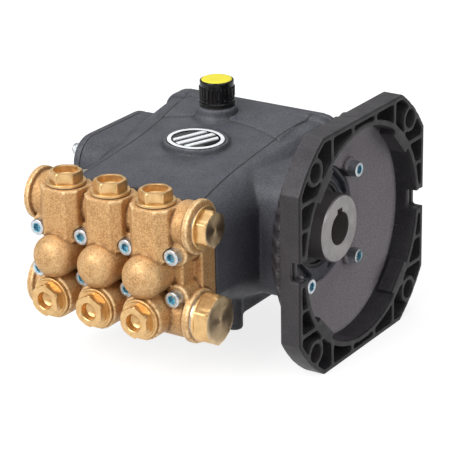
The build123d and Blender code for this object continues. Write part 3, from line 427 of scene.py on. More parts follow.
@dataclass(frozen=True)
class BraidedFinish(Finish):
    """Packing braided from coated fibre."""

    strand: float = 1.4
    strands: float = 3.0
    waviness: float = 1.5
    braid_depth: float = 0.25

    def relief(self, graph: ShaderGraph) -> list[tuple[Socket, float]]:
        """Choose the relief layers.

        Args:
            graph: the material in the making.

        Returns:
            Height patterns with their depths in millimetres.
        """
        node = graph.nodes.new("ShaderNodeTexWave")
        node.bands_direction = "DIAGONAL"
        node.inputs["Scale"].default_value = 1.0 / (self.strand * MM) / self.strands
        node.inputs["Distortion"].default_value = self.waviness
        graph.links.new(graph.place, node.inputs["Vector"])
        return [*super().relief(graph), (node.outputs["Fac"], self.braid_depth)]


@dataclass(frozen=True)
class ClearFinish(Finish):
    """Tinted clear plastic with a polished face."""

    clearness: float = 0.35
    refraction: float = 1.49

    def dress(self, graph: ShaderGraph) -> None:
        """Fill in the material.

        Args:
            graph: the material in the making.
        """
        super().dress(graph)
        graph.set("Transmission Weight", self.clearness)
        graph.set("IOR", self.refraction)


# In these finishes the lighter colour on convex edges is partly wear and partly painted highlight, and the
# dark colour in creases is painted shade.
CASE_PAINT = Finish(
    "case_paint", (0.040, 0.041, 0.050), (0.092, 0.095, 0.113), rough=(0.5, 0.62), mottle=26.0,
    grain=1.3, grain_depth=0.12, grain_share=0.7, wave_depth=0.2, worn_and_highlight_colour=(0.13, 0.13, 0.145), wear_and_highlight=0.5,
    corner=(0.008, 0.008, 0.010), crease_shade=0.7, specular=0.4)
BELL_CASTING = BellFinish(
    "bell_casting", (0.026, 0.024, 0.027), (0.058, 0.054, 0.058), rough=(0.42, 0.55), mottle=20.0,
    grain=1.3, grain_depth=0.12, grain_share=0.6, wave_depth=0.2, worn_and_highlight_colour=(0.14, 0.13, 0.135), wear_and_highlight=0.5,
    corner=(0.006, 0.005, 0.006), crease_shade=0.8, specular=0.3)
FORGED_BRASS = Finish(
    "forged_brass", (0.43, 0.225, 0.084), (0.76, 0.465, 0.208), metal=0.45, rough=(0.46, 0.6),
    mottle=9.0, grain=1.3, grain_depth=0.12, grain_share=0.75, wave_depth=0.1, worn_and_highlight_colour=(0.98, 0.74, 0.42),
    wear_and_highlight=0.8, corner=(0.16, 0.065, 0.02), crease_shade=0.9, specular=0.4)
TURNED_BRASS = TurnedFinish(
    "turned_brass", (0.58, 0.36, 0.15), (0.80, 0.53, 0.25), metal=0.85, rough=(0.3, 0.42), mottle=6.0,
    grain=0.4, grain_depth=0.01, wave_depth=0.02)
BRASS_FACE = TurnedFinish(
    "brass_face", (0.50, 0.36, 0.21), (0.72, 0.54, 0.33), metal=1.0, rough=(0.28, 0.38), mottle=8.0,
    grain=0.4, grain_depth=0.008, wave_depth=0.01, ring=0.3, ring_depth=0.03, spread=0.85)
ZINC = Finish(
    "zinc_steel", (0.40, 0.44, 0.48), (0.74, 0.77, 0.80), metal=0.9, rough=(0.28, 0.44), mottle=3.0,
    grain=0.5, grain_depth=0.02, wave_depth=0.02)
SOCKET_BLUE = Finish(
    "zinc_socket", (0.06, 0.24, 0.32), (0.40, 0.68, 0.80), metal=0.7, rough=(0.3, 0.45), mottle=2.0,
    grain=0.5, grain_depth=0.02, wave_depth=0.02)
SHAFT_STEEL = ShaftFinish(
    "shaft_steel", (0.27, 0.255, 0.255), (0.38, 0.36, 0.365), metal=0.7, rough=(0.36, 0.48),
    mottle=12.0, grain=0.6, grain_depth=0.02, wave_depth=0.03)
BEARING_STEEL = Finish(
    "bearing_steel", (0.50, 0.50, 0.50), (0.66, 0.66, 0.67), metal=1.0, rough=(0.12, 0.22), mottle=9.0,
    grain=0.5, grain_depth=0.01, wave_depth=0.02)
STAINLESS = Finish(
    "stainless_steel", (0.45, 0.45, 0.44), (0.62, 0.61, 0.60), metal=1.0, rough=(0.25, 0.38),
    mottle=6.0, grain=0.5, grain_depth=0.015, wave_depth=0.02)
ROD_ALUMINIUM = Finish(
    "rod_aluminium", (0.52, 0.52, 0.53), (0.70, 0.70, 0.71), metal=0.9, rough=(0.38, 0.55), mottle=9.0,
    grain=0.8, grain_depth=0.05)
CERAMIC = Finish(
    "plunger_ceramic", (0.78, 0.77, 0.73), (0.86, 0.85, 0.82), rough=(0.1, 0.2), grain_depth=0.004,
    wave_depth=0.01, coat=0.3)
PACKING = BraidedFinish(
    "packing_fabric", (0.035, 0.033, 0.03), (0.10, 0.095, 0.085), rough=(0.6, 0.8))
RUBBER = Finish(
    "seal_rubber", (0.012, 0.012, 0.012), (0.028, 0.028, 0.028), rough=(0.5, 0.7), grain_depth=0.02)
CAGE_PLASTIC = Finish(
    "cage_plastic", (0.55, 0.55, 0.52), (0.68, 0.68, 0.65), rough=(0.35, 0.5), grain_depth=0.015)
CAP_BLACK = Finish(
    "cap_black", (0.003, 0.003, 0.004), (0.007, 0.007, 0.008), rough=(0.2, 0.32), mottle=8.0,
    grain=0.5, grain_depth=0.012, wave_depth=0.05, specular=0.3)
CAP_YELLOW = Finish(
    "cap_yellow", (0.76, 0.66, 0.04), (0.86, 0.77, 0.06), rough=(0.5, 0.62), mottle=9.0, grain=0.6,
    grain_depth=0.01, wave_depth=0.03, specular=0.25)
BADGE_SILVER = Finish(
    "badge_silver", (0.70, 0.72, 0.74), (0.84, 0.86, 0.88), metal=0.0, rough=(0.5, 0.62), mottle=5.0,
    grain=0.4, grain_depth=0.01, wave_depth=0.01)
SIGHT_GLASS = ClearFinish(
    "sight_glass", (0.35, 0.33, 0.28), (0.62, 0.6, 0.52), rough=(0.06, 0.12), grain_depth=0.004,
    wave_depth=0.01, coat=0.5)

ROWS = (1, 2, 3)
NODE_FINISHES: dict[str, tuple[Finish, tuple[str, ...]]] = {
    "seals": (RUBBER, ("shaft_oil_seal", "plunger_oil_seals", "filler_washer")),
    "plug washers": (STAINLESS, ("side_plug_washers",)),
    "packing": (PACKING, ("plunger_packings",)),
    "bearings": (BEARING_STEEL, ("bearing_outer_rings", "bearing_inner_rings", "drive_bearing_balls",
                                 "free_bearing_balls")),
    "shaft": (SHAFT_STEEL, ("crankshaft",)),
    "valves": (STAINLESS, ("valve_seats", "outlet_valve_springs", "inlet_valve_springs",
                           *(f"{side}_valve_plate_{row}" for side in ("outlet", "inlet") for row in ROWS),
                           *(f"crosshead_{row}" for row in ROWS))),
    "cages": (CAGE_PLASTIC, ("valve_cages",)),
    "rods": (ROD_ALUMINIUM, tuple(f"{part}_{row}" for part in ("conrod", "conrod_cap") for row in ROWS)),
    "rod screws": (ZINC, tuple(f"conrod_cap_screws_{row}" for row in ROWS)),
    "pins": (BEARING_STEEL, tuple(f"{part}_{row}" for part in ("wrist_pin", "slinger_ring") for row in ROWS)),
    "plungers": (CERAMIC, tuple(f"plunger_{row}" for row in ROWS)),
    "small parts": (CAP_BLACK, ("dipstick", "drain_plug")),
    "sight glass": (SIGHT_GLASS, ("sight_glass",)),
}


# ------------------------------------------------------------------ mesh work
class Section(Enum):
    """Outline of a ring across its axis."""

    ROUND = "round"
    HEXAGON = "hexagon"
    KNURLED = "knurled"
    RIBBED = "ribbed"


@dataclass(frozen=True)
class Ring:
    """One ring of points round an axis, in millimetres."""

    height: float
    reach: float
    section: Section = Section.ROUND
    flats: float = 0.0
    paint: int = 0

    def radius(self, step: int, steps: int) -> float:
        """Distance of one point of the ring from the axis.

        Args:
            step: number of the point.
            steps: number of points in the ring.

        Returns:
            The distance in millimetres.
        """
        if self.section is Section.HEXAGON:
            off_corner = (360.0 * step / steps) % 60.0 - 30.0
            return min(self.reach, self.flats / 2.0 / math.cos(math.radians(off_corner)))
        if self.section is Section.KNURLED:
            return self.reach - self.flats * (step % 2)
        if self.section is Section.RIBBED:
            return self.reach - (0.0 if step % RIB_STEPS < RIB_WIDTH else self.flats)
        return self.reach


def rounded_edge(height: float, reach: float, radius: float, steps: int = 4, paint: int = 0) -> list[Ring]:
    """Round off the outer edge where a barrel meets its top.

    Args:
        height: height of the top.
        reach: radius of the barrel.
        radius: radius of the rounding.
        steps: number of facets in the rounding.
        paint: number of the finish.

    Returns:
        Rings from the barrel to the top.
    """
    turns = [math.pi / 2 * step / steps for step in range(steps + 1)]
    return [Ring(height - radius * (1 - math.sin(turn)), reach - radius * (1 - math.cos(turn)), paint=paint)
            for turn in turns]


def skin(work: Work, rows: list[list[Point]], paints: list[int]) -> None:
    """Join closed rows of points with faces and close both ends.

    Args:
        work: mesh in the making.
        rows: the rows in order, with equal numbers of points.
        paints: number of the finish for each row.
    """
    for paint, low, high in zip(paints[1:], rows, rows[1:]):
        for step in range(len(low)):
            after = (step + 1) % len(low)
            work.faces.new((low[step], low[after], high[after], high[step])).material_index = paint
    work.faces.new(list(reversed(rows[0]))).material_index = paints[0]
    work.faces.new(rows[-1]).material_index = paints[-1]


def as_mesh(work: Work, name: str) -> Mesh:
    """Turn a mesh in the making into a finished one.

    Args:
        work: mesh in the making, which is used up.
        name: name of the finished mesh.

    Returns:
        The finished mesh.
    """
    mesh = bpy.data.meshes.new(name)
    work.to_mesh(mesh)
    work.free()
    return mesh


def placed(origin: Triple, facing: Triple, across: Triple) -> Matrix:
    """Make the placement of a turned piece.

    Args:
        origin: foot of the piece in millimetres.
        facing: direction of its axis.
        across: direction of its first point.

    Returns:
        The placement, from millimetres on the axis to metres in the frame.
    """
    axis = Vector(facing).normalized()
    side = Vector(across).normalized()
    other = axis.cross(side)
    turn = Matrix((side, other, axis)).transposed().to_4x4()
    return Matrix.Translation(Vector(origin) * MM) @ turn @ Matrix.Scale(MM, 4)


def shown(mesh: Mesh, name: str, finishes: list[Finish], body: str,
          nodes: tuple[str, ...] = ()) -> Piece:
    """Put a finished mesh in the scene and report it.

    Args:
        mesh: the mesh, in place.
        name: name of the piece.
        finishes: finishes, in the order of the faces' numbers.
        body: body that the piece rides on.
        nodes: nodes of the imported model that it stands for.

    Returns:
        The piece.
    """
    piece = bpy.data.objects.new(name, mesh)
    bpy.context.scene.collection.objects.link(piece)
    for finish in finishes:
        mesh.materials.append(finish.material())
    mesh.shade_smooth()
    mesh.set_sharp_from_angle(angle=SHARP_ANGLE)
    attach(piece, body)
    if nodes:
        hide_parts(*nodes)
    LOG.info("%s: %d faces on %s", name, len(mesh.polygons), body)
    return piece


@dataclass
class TurnedSet:
    """Pieces turned or milled round an axis, joined into one mesh."""

    name: str
    steps: int = 96
    mesh: Work = field(default_factory=bmesh.new)

    def __post_init__(self) -> None:
        """Add the layers that hold the turning direction and the distance from the axis."""
        self.turning = self.mesh.verts.layers.float_vector.new("turning")
        self.reach = self.mesh.verts.layers.float.new("reach")

    def add(self, rings: list[Ring], place: Matrix, phase: float = 0.0) -> None:
        """Add one turned piece, closed at both ends.

        Args:
            rings: its rings in order along its outline.
            place: its placement.
            phase: turn of its first point in degrees.
        """
        rows = [self._row(ring, place, math.radians(phase)) for ring in rings]
        skin(self.mesh, rows, [ring.paint for ring in rings])

    def _row(self, ring: Ring, place: Matrix, phase: float) -> list[Point]:
        """Add the points of one ring.

        Args:
            ring: the ring.
            place: placement of the piece.
            phase: turn of the first point in radians.

        Returns:
            The points in order.
        """
        row = []
        for step in range(self.steps):
            angle = phase + math.tau * step / self.steps
            radius = max(ring.radius(step, self.steps), AXIS_HOLE)
            across, along = math.cos(angle), math.sin(angle)
            point = self.mesh.verts.new(place @ Vector((radius * across, radius * along, ring.height)))
            around = place.to_3x3() @ Vector((-along, across, 0.0))
            point[self.turning] = around.normalized()
            point[self.reach] = radius * MM
            row.append(point)
        return row

    def finish(self, finishes: list[Finish], body: str, slot: str,
               nodes: tuple[str, ...]) -> Piece:
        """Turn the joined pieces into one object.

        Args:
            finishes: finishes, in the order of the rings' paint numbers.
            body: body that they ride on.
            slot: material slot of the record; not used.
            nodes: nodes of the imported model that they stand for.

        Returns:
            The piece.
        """
        bmesh.ops.recalc_face_normals(self.mesh, faces=self.mesh.faces)
        return shown(as_mesh(self.mesh, self.name), self.name, finishes, body, nodes)


def read_points(mesh: Mesh, kind: str = "co") -> np.ndarray:
    """Read a mesh's points, or with kind "normal" their directions, as rows of three numbers."""
    points = np.empty(len(mesh.vertices) * 3)
    mesh.vertices.foreach_get(kind, points)
    return points.reshape(-1, 3)


def edge_ends(mesh: Mesh) -> np.ndarray:
    """Read the numbers of the points at the ends of each edge, in two columns."""
    ends = np.empty(len(mesh.edges) * 2, dtype=np.int64)
    mesh.edges.foreach_get("vertices", ends)
    return ends.reshape(-1, 2)


def neighbour_means(mesh: Mesh, values: np.ndarray) -> np.ndarray:
    """Average a value over each point's neighbours.

    Args:
        mesh: the mesh.
        values: one row of numbers for each point.

    Returns:
        The averages, in the same shape.
    """
    ends = edge_ends(mesh)
    first, second = ends.T
    count = len(mesh.vertices)
    degree = np.maximum(np.bincount(ends.ravel(), minlength=count), 1)
    sums = [np.bincount(first, column[second], count) + np.bincount(second, column[first], count)
            for column in values.T]
    return np.stack(sums, axis=1) / degree[:, None]


@dataclass
class Casting:
    """A cast or forged piece: the machined model with every edge softened as a mould leaves it."""

    node: str
    name: str
    finish: Finish
    slot: str
    grid: float = 1.0
    passes: int = 8
    keep: float = 0.4
    edge_radius: float = 2.0
    pull: float = 0.5
    weld: float = 0.01
    edge_gain: float = 4.0

    def build(self, shape: Callable[[np.ndarray, np.ndarray], np.ndarray] | None = None) -> Piece:
        """Make the casting.

        Args:
            shape: function that changes the softened points, or None.

        Returns:
            The piece.
        """
        mesh = self._regrid()
        points = read_points(mesh)
        for _ in range(self.passes):
            points += self.pull * (neighbour_means(mesh, points) - points)
        if shape is not None:
            mesh.vertices.foreach_set("co", points.ravel())
            mesh.update()
            points = shape(points, read_points(mesh, "normal"))
        mesh.vertices.foreach_set("co", points.ravel())
        mesh = self._evaluated(mesh, "DECIMATE", ratio=self.keep)
        self._mark_edges(mesh)
        body = frame["nodes"][self.node]["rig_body"]
        return shown(mesh, self.name, [self.finish], body, (self.node,))

    def _regrid(self) -> Mesh:
        """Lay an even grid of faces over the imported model's surface.

        Returns:
            The new mesh.
        """
        work = bmesh.new()
        work.from_mesh(frame["nodes"][self.node].data)
        bmesh.ops.remove_doubles(work, verts=work.verts, dist=self.weld * MM)
        return self._evaluated(as_mesh(work, self.name), "REMESH", mode="VOXEL", voxel_size=self.grid * MM)

    def _evaluated(self, mesh: Mesh, kind: str, **settings: float | str) -> Mesh:
        """Apply one modifier to a mesh.

        Args:
            mesh: the mesh, which is used up.
            kind: the modifier's type.
            settings: the modifier's settings.

        Returns:
            The changed mesh.
        """
        worker = bpy.data.objects.new("worker", mesh)
        bpy.context.scene.collection.objects.link(worker)
        modifier = worker.modifiers.new("work", kind)
        for key, value in settings.items():
            setattr(modifier, key, value)
        graph = bpy.context.evaluated_depsgraph_get()
        graph.update()
        made = bpy.data.meshes.new_from_object(worker.evaluated_get(graph))
        bpy.data.objects.remove(worker)
        bpy.data.meshes.remove(mesh)
        made.name = self.name
        return made

    def _mark_edges(self, mesh: Mesh) -> None:
        """Store how far each point stands on an edge or lies in a corner.

        Args:
            mesh: the mesh.
        """
        mesh.update()
        points = read_points(mesh)
        away = neighbour_means(mesh, points) - points
        ends = edge_ends(mesh)
        first, second = ends.T
        lengths = ((points[first] - points[second]) ** 2).sum(axis=1)
        count = len(mesh.vertices)
        squares = np.bincount(first, lengths, count) + np.bincount(second, lengths, count)
        squares /= np.maximum(np.bincount(ends.ravel(), minlength=count), 1)
        inward = -(away * read_points(mesh, "normal")).sum(axis=1)
        bend = inward * self.edge_gain / np.maximum(squares, 1e-12) * self.edge_radius * MM
        bend = bend.reshape(-1, 1)
        for _ in range(2):
            bend = 0.5 * (bend + neighbour_means(mesh, bend))
        # edge drives the lighter edges, partly wear and partly painted highlight; crease drives the painted
        # shade in hollows.
        for key, values in (("edge", bend), ("crease", -bend)):
            layer = mesh.attributes.new(key, "FLOAT", "POINT")
            layer.data.foreach_set("value", np.clip(values[:, 0], 0.0, 1.0))


@dataclass(frozen=True)
class SocketScrew:
    """Zinc-plated socket head screw, in millimetres."""

    head_r: float
    head: float
    shank_r: float
    shank: float
    knurl: float = 0.16
    tip: float = 0.6
    rounding: float = 0.8
    across_share: float = 0.92

    def rings(self) -> list[Ring]:
        """Outline of the screw, with its head standing on height 0.

        Returns:
            Rings from the shank's tip to the bottom of the socket.
        """
        socket = self.head_r * self.across_share
        corner = self.head_r + 2.0
        floor = self.head / 2
        return [
            Ring(-self.shank, self.shank_r - self.tip),
            Ring(-self.shank + self.tip, self.shank_r),
            Ring(0.0, self.shank_r),
            Ring(0.0, self.head_r - 0.3),
            Ring(0.3, self.head_r, Section.KNURLED, self.knurl),
            Ring(self.head - self.rounding - 0.5, self.head_r, Section.KNURLED, self.knurl),
            *rounded_edge(self.head, self.head_r - 0.05, self.rounding),
            Ring(self.head, socket / 2 * 1.3),
            Ring(self.head - 0.35, corner, Section.HEXAGON, socket, 1),
            Ring(floor, corner, Section.HEXAGON, socket, 1),
            Ring(floor - 0.4, 0.0, paint=1),
        ]


def screw_set(name: str, node: str, screw: SocketScrew, places: list[Matrix]) -> Piece:
    """Make a set of equal screws.

    Args:
        name: name of the set.
        node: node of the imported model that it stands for.
        screw: the screw.
        places: placements of the heads' seats.

    Returns:
        The set as one piece.
    """
    screws = TurnedSet(name)
    for row, place in enumerate(places):
        screws.add(screw.rings(), place, phase=17.0 * row)
    return screws.finish([ZINC, SOCKET_BLUE], "housing", "zinc_steel", (node,))


FRONT, UP, ACROSS, MOTOR, REAR, FREE = (0, -1, 0), (0, 0, 1), (1, 0, 0), (1, 0, 0), (0, 1, 0), (-1, 0, 0)


# ------------------------------------------------------------------ sub-assemblies
@dataclass
class ValveHead:
    """The brass valve head with its plugs, caps and screws."""

    tower_front: float = -145.5
    tower_top: float = 55.0
    cap_flats: float = 24.0
    branch_face: float = -170.0
    branch_z: float = -33.3
    side_x: float = MID_X + 78.4 + 1.5
    outlet_axis: tuple[float, float] = (-135.0, 38.0)
    inlet_axis: tuple[float, float] = (-137.0, -36.0)
    screw_seat: float = -151.0
    screw_z: float = 17.5
    cap_corner: float = 1.13
    plug_corner: float = 1.12
    side_corner: float = 1.135
    side_chamfer: float = 0.045
    face_rings: tuple[float, ...] = (0.8, 0.6, 0.4, 0.2, 0.1)
    brass_steps: int = 144
    hexagon_turn: float = 30.0

    def outlet_caps(self) -> None:
        """Make the hollow hexagon caps on the outlet towers."""
        corner = self.cap_flats / 2 * self.cap_corner
        rings = [
            Ring(-21.0, 10.6), Ring(-20.2, 11.4), Ring(0.0, 11.4),
            Ring(0.0, 15.6, paint=1), Ring(0.6, 15.6, paint=1),
            Ring(0.6, 15.7), Ring(0.9, 16.0), *rounded_edge(3.0, 16.0, 0.7),
            Ring(3.0, corner, Section.HEXAGON, self.cap_flats),
            Ring(10.4, corner, Section.HEXAGON, self.cap_flats),
            Ring(11.35, corner - 0.9, Section.HEXAGON, self.cap_flats),
            Ring(11.6, self.cap_flats / 2 - 0.5),
            Ring(11.6, 10.1), Ring(11.1, 9.6), Ring(6.0, 9.2), Ring(4.6, 7.6), Ring(4.2, 3.0), Ring(5.0, 0.0),
        ]
        caps = TurnedSet("outlet_caps", self.brass_steps)
        for x in PLUNGER_X:
            caps.add(rings, placed((x, self.tower_front, self.tower_top), UP, ACROSS), self.hexagon_turn)
        caps.finish([TURNED_BRASS, RUBBER], "housing", "turned_brass", ("outlet_valve_caps",))

    def inlet_plugs(self) -> None:
        """Make the hollow hexagon plugs on the inlet branches."""
        corner = self.cap_flats / 2 * self.plug_corner
        rings = [
            Ring(-4.0, 10.6), Ring(-3.2, 11.4), Ring(0.0, 11.4),
            Ring(0.0, 15.9, paint=1), Ring(0.6, 15.9, paint=1),
            Ring(0.6, 16.2), Ring(0.9, 16.5), *rounded_edge(2.8, 16.5, 0.6), Ring(2.8, 15.0), Ring(4.0, 14.6),
            Ring(4.0, corner, Section.HEXAGON, self.cap_flats),
            Ring(9.8, corner, Section.HEXAGON, self.cap_flats),
            Ring(10.8, corner - 1.0, Section.HEXAGON, self.cap_flats),
            Ring(11.0, self.cap_flats / 2 - 0.8),
            Ring(11.0, 7.6), Ring(10.5, 7.0), Ring(5.0, 6.4), Ring(3.4, 4.2), Ring(3.0, 0.0),
        ]
        plugs = TurnedSet("inlet_plugs", self.brass_steps)
        for x in PLUNGER_X:
            plugs.add(rings, placed((x, self.branch_face, self.branch_z), FRONT, ACROSS), self.hexagon_turn)
        plugs.finish([TURNED_BRASS, RUBBER], "housing", "turned_brass", ("inlet_valve_plugs",))

    def side_plug(self, name: str, axis: tuple[float, float], collar_r: float, collar: float, flats: float,
                  height: float) -> None:
        """Make one solid hexagon plug on the motor side.

        Args:
            name: name of the node that it stands for.
            axis: its axis, as Y and Z.
            collar_r: radius of its collar.
            collar: thickness of its collar.
            flats: width across its flats.
            height: height of its hexagon.
        """
        corner = flats / 2 * self.side_corner
        end = collar + height
        rings = [
            Ring(-13.5, 9.0), Ring(-12.5, 10.0), Ring(0.0, 10.0),
            Ring(0.0, collar_r - 0.4), Ring(0.4, collar_r),
            *rounded_edge(collar, collar_r, 0.6),
            Ring(collar, corner, Section.HEXAGON, flats),
            Ring(end - flats * self.side_chamfer, corner, Section.HEXAGON, flats),
            Ring(end - 0.15, flats / 2 * 1.02, Section.HEXAGON, flats),
            Ring(end, flats / 2 - 0.7, paint=1),
            *(Ring(end - 0.02, flats / 2 * share, paint=1) for share in self.face_rings),
            Ring(end - 0.5, 0.0, paint=1),
        ]
        plug = TurnedSet(name.replace("side_plug", "side_plug_turned"), self.brass_steps)
        plug.add(rings, placed((self.side_x, *axis), MOTOR, REAR), self.hexagon_turn)
        plug.finish([TURNED_BRASS, BRASS_FACE], "housing", "turned_brass", (name,))

    def build(self) -> None:
        """Make the whole valve head."""
        Casting("manifold", "manifold_forging", FORGED_BRASS, "forged_brass", grid=0.85, passes=4).build()
        self.outlet_caps()
        self.inlet_plugs()
        self.side_plug("outlet_side_plug", self.outlet_axis, 17.5, 1.6, 27.0, 9.0)
        self.side_plug("inlet_side_plug", self.inlet_axis, 20.0, 2.5, 38.0, 12.5)
        places = [placed((MID_X + PITCH * step, self.screw_seat, side * self.screw_z), FRONT, ACROSS)
                  for step in (-1.5, -0.5, 0.5, 1.5) for side in (-1, 1)]
        screw_set("head_screws", "manifold_screws", SocketScrew(6.6, 8.0, 4.0, 59.0), places)


@dataclass
class Crankcase:
    """The cast crankcase with its covers and their screws."""

    panel_half: float = 61.0
    panel_front: float = 7.0
    panel_bow: float = 11.0
    panel_rise: float = 1.1
    panel_left: tuple[float, float] = (-15.0, 36.0)
    panel_right: tuple[float, float] = (11.0, 20.0)
    joint_x: float = 54.5
    joint_middle: float = -35.0
    joint_bow: float = 0.0009
    joint_points: int = 121
    bead_facets: int = 6
    bead_crown: float = 0.65
    bead_sunk: float = 0.2
    step_width: float = 1.6
    panel_z: tuple[float, float] = (45.0, 72.5)
    above_top: float = 120.0
    case_front: float = -109.0
    case_rear: float = 56.0
    cover_x: float = -250.0
    rear_face: float = 69.0

    def panel(self, points: np.ndarray, normals: np.ndarray) -> np.ndarray:
        """Raise the panel round the filler.

        Args:
            points: points of the casting in metres.
            normals: directions in which they face.

        Returns:
            The changed points.
        """
        across = points[:, 0] / MM - MID_X
        back = points[:, 1] / MM
        line = self.panel_front + self.panel_bow * np.clip(1.0 - (across / self.panel_half) ** 2, 0.0, 1.0)
        height = points[:, 2] / MM
        inside = np.clip((back - line) / self.step_width, 0.0, 1.0)
        inside *= np.clip((self.panel_half - np.abs(across)) / self.step_width, 0.0, 1.0)
        facing_up = np.clip((normals[:, 2] - 0.6) / 0.2, 0.0, 1.0)
        on_top = (height > self.panel_z[0]) & (height < self.panel_z[1])
        points[:, 2] += self.panel_rise * inside * facing_up * on_top * MM
        return points

    def shadow_line(self, casting: Piece, name: str, path: list[tuple[float, float]],
             half: float) -> None:
        """Lay a thin dark strip over the top of the casting: painted shade standing for the shadow along a
        seam or step.

        Args:
            casting: the finished casting.
            name: name of the strip.
            path: X and Y of the points that it follows.
            half: half of its width.
        """
        surface = BVHTree.FromPolygons([v.co for v in casting.data.vertices],
                                       [p.vertices for p in casting.data.polygons])
        turns = [math.pi * turn / self.bead_facets for turn in range(self.bead_facets + 1)]
        work = bmesh.new()
        rows = []
        for (x, y), (before, after) in zip(path, zip([path[0], *path], [*path[1:], path[-1]])):
            above = Vector((x, y, self.above_top)) * MM
            foot, normal, _, _ = surface.ray_cast(above, Vector((0, 0, -1)))
            along = Vector((after[0] - before[0], after[1] - before[1], 0.0))
            across = along.cross(normal).normalized()
            rows.append([work.verts.new(foot + (across * math.cos(turn) * half
                                                + normal * (math.sin(turn) * half * self.bead_crown
                                                            - self.bead_sunk)) * MM)
                         for turn in turns])
        skin(work, rows, [0] * len(rows))
        bmesh.ops.recalc_face_normals(work, faces=work.faces)
        shown(as_mesh(work, name), name, [RUBBER], "housing")

    def joint(self, side: int) -> list[tuple[float, float]]:
        """Work out the bowed joint on one side of the top.

        Args:
            side: 1 for the motor side, -1 for the free side.

        Returns:
            X and Y of its points.
        """
        stations = np.linspace(self.case_front, self.case_rear, self.joint_points)
        return [(MID_X + side * (self.joint_x + self.joint_bow * (y - self.joint_middle) ** 2), y)
                for y in stations]

    def panel_edge(self) -> list[tuple[float, float]]:
        """Work out the bowed front edge of the panel, with its two sides.

        Returns:
            X and Y of its points.
        """
        half = self.panel_half
        front = [(MID_X + across, self.panel_front + self.panel_bow * (1.0 - (across / half) ** 2))
                 for across in (half * (step / 30 - 1.0) for step in range(61))]
        sides = []
        for (x, y), (out, back) in ((front[0], self.panel_left), (front[-1], self.panel_right)):
            sides.append([(x + out * share, y + back * share) for share in (0.25, 0.5, 0.75, 1.0)])
        return [*reversed(sides[0]), *front, *sides[1]]

    def build(self) -> None:
        """Make the crankcase and its covers."""
        casting = Casting("crankcase", "crankcase_casting", CASE_PAINT, "case_paint", grid=1.15,
                          passes=7).build(self.panel)
        # Painted shade: dark strips along the seams and the panel's front edge.
        self.shadow_line(casting, "joint_bead_motor_side", self.joint(1), 0.75)
        self.shadow_line(casting, "joint_bead_free_side", self.joint(-1), 0.75)
        self.shadow_line(casting, "panel_edge_line", self.panel_edge(), 0.4)
        Casting("rear_cover", "rear_cover_casting", CASE_PAINT, "case_paint", passes=6, keep=0.3).build()
        Casting("bearing_cover", "bearing_cover_casting", CASE_PAINT, "case_paint", passes=5,
                keep=0.3).build()
        spots = [(x, z) for x in (-74.0, 74.0) for z in (-50.0, 5.0, 60.0)]
        spots += [(x, z) for z in (-50.0, 60.0) for x in (-26.0, 26.0)]
        screw_set("rear_screws", "rear_cover_screws", SocketScrew(5.0, 6.0, 3.0, 19.0),
                  [placed((MID_X + x, self.rear_face, z), REAR, FREE) for x, z in spots])
        screw_set("bearing_screws", "bearing_cover_screws", SocketScrew(5.0, 6.0, 3.0, 21.0),
                  [placed((self.cover_x, y, z), FREE, FRONT) for y in (-43.0, 43.0) for z in (-41.0, 41.0)])


@dataclass
class MotorBell:
    """The ribbed bell that carries the motor."""

    screw_seat: float = -34.0
    screw_offset: float = 38.35

    def build(self) -> None:
        """Make the bell and the screws in its floor."""
        Casting("motor_flange", "motor_bell_casting", BELL_CASTING, "flange_casting", passes=4,
                edge_radius=1.6).build()
        sides = (-self.screw_offset, self.screw_offset)
        places = [placed((self.screw_seat, y, z), MOTOR, REAR) for y in sides for z in sides]
        screw_set("bell_screws", "flange_screws", SocketScrew(6.5, 8.0, 4.0, 28.0), places)


@dataclass
class FillerCap:
    """The oil filler cap with its yellow button."""

    seat_z: float = 77.5
    filler_x: float = MID_X - 12.0
    filler_y: float = 26.0
    top: float = 21.5

    def build(self) -> None:
        """Make the cap and its button."""
        place = placed((self.filler_x, self.filler_y, self.seat_z), UP, ACROSS)
        rib = 0.85
        cap = TurnedSet("filler_cap_moulding", 192)
        cap.add([
            Ring(-12.0, 9.8), Ring(-11.0, 11.0), Ring(0.0, 11.0),
            Ring(0.0, 14.6), Ring(0.5, 15.1), Ring(2.6, 15.1),
            Ring(3.0, 14.7), Ring(3.5, 14.1), Ring(4.2, 14.1), Ring(4.4, 14.9, Section.RIBBED, rib),
            Ring(6.0, 14.9, Section.RIBBED, rib), Ring(6.3, 14.2), Ring(6.8, 14.2),
            Ring(7.2, 15.2, Section.RIBBED, rib + 0.2), Ring(15.6, 15.2, Section.RIBBED, rib + 0.2),
            Ring(16.6, 14.3), *rounded_edge(self.top, 14.4, 1.0), Ring(self.top, 13.2), Ring(19.6, 13.1),
            Ring(19.5, 0.0),
        ], place)
        cap.finish([CAP_BLACK], "filler_cap", "cap_black", ("oil_cap",))
        button = TurnedSet("filler_button")
        button.add([Ring(19.6, 12.7), Ring(20.0, 12.95), *rounded_edge(22.2, 12.95, 1.1), Ring(22.28, 8.0),
                    Ring(22.3, 0.0)], place)
        button.finish([CAP_YELLOW], "filler_cap", "cap_yellow", ("oil_cap_button",))


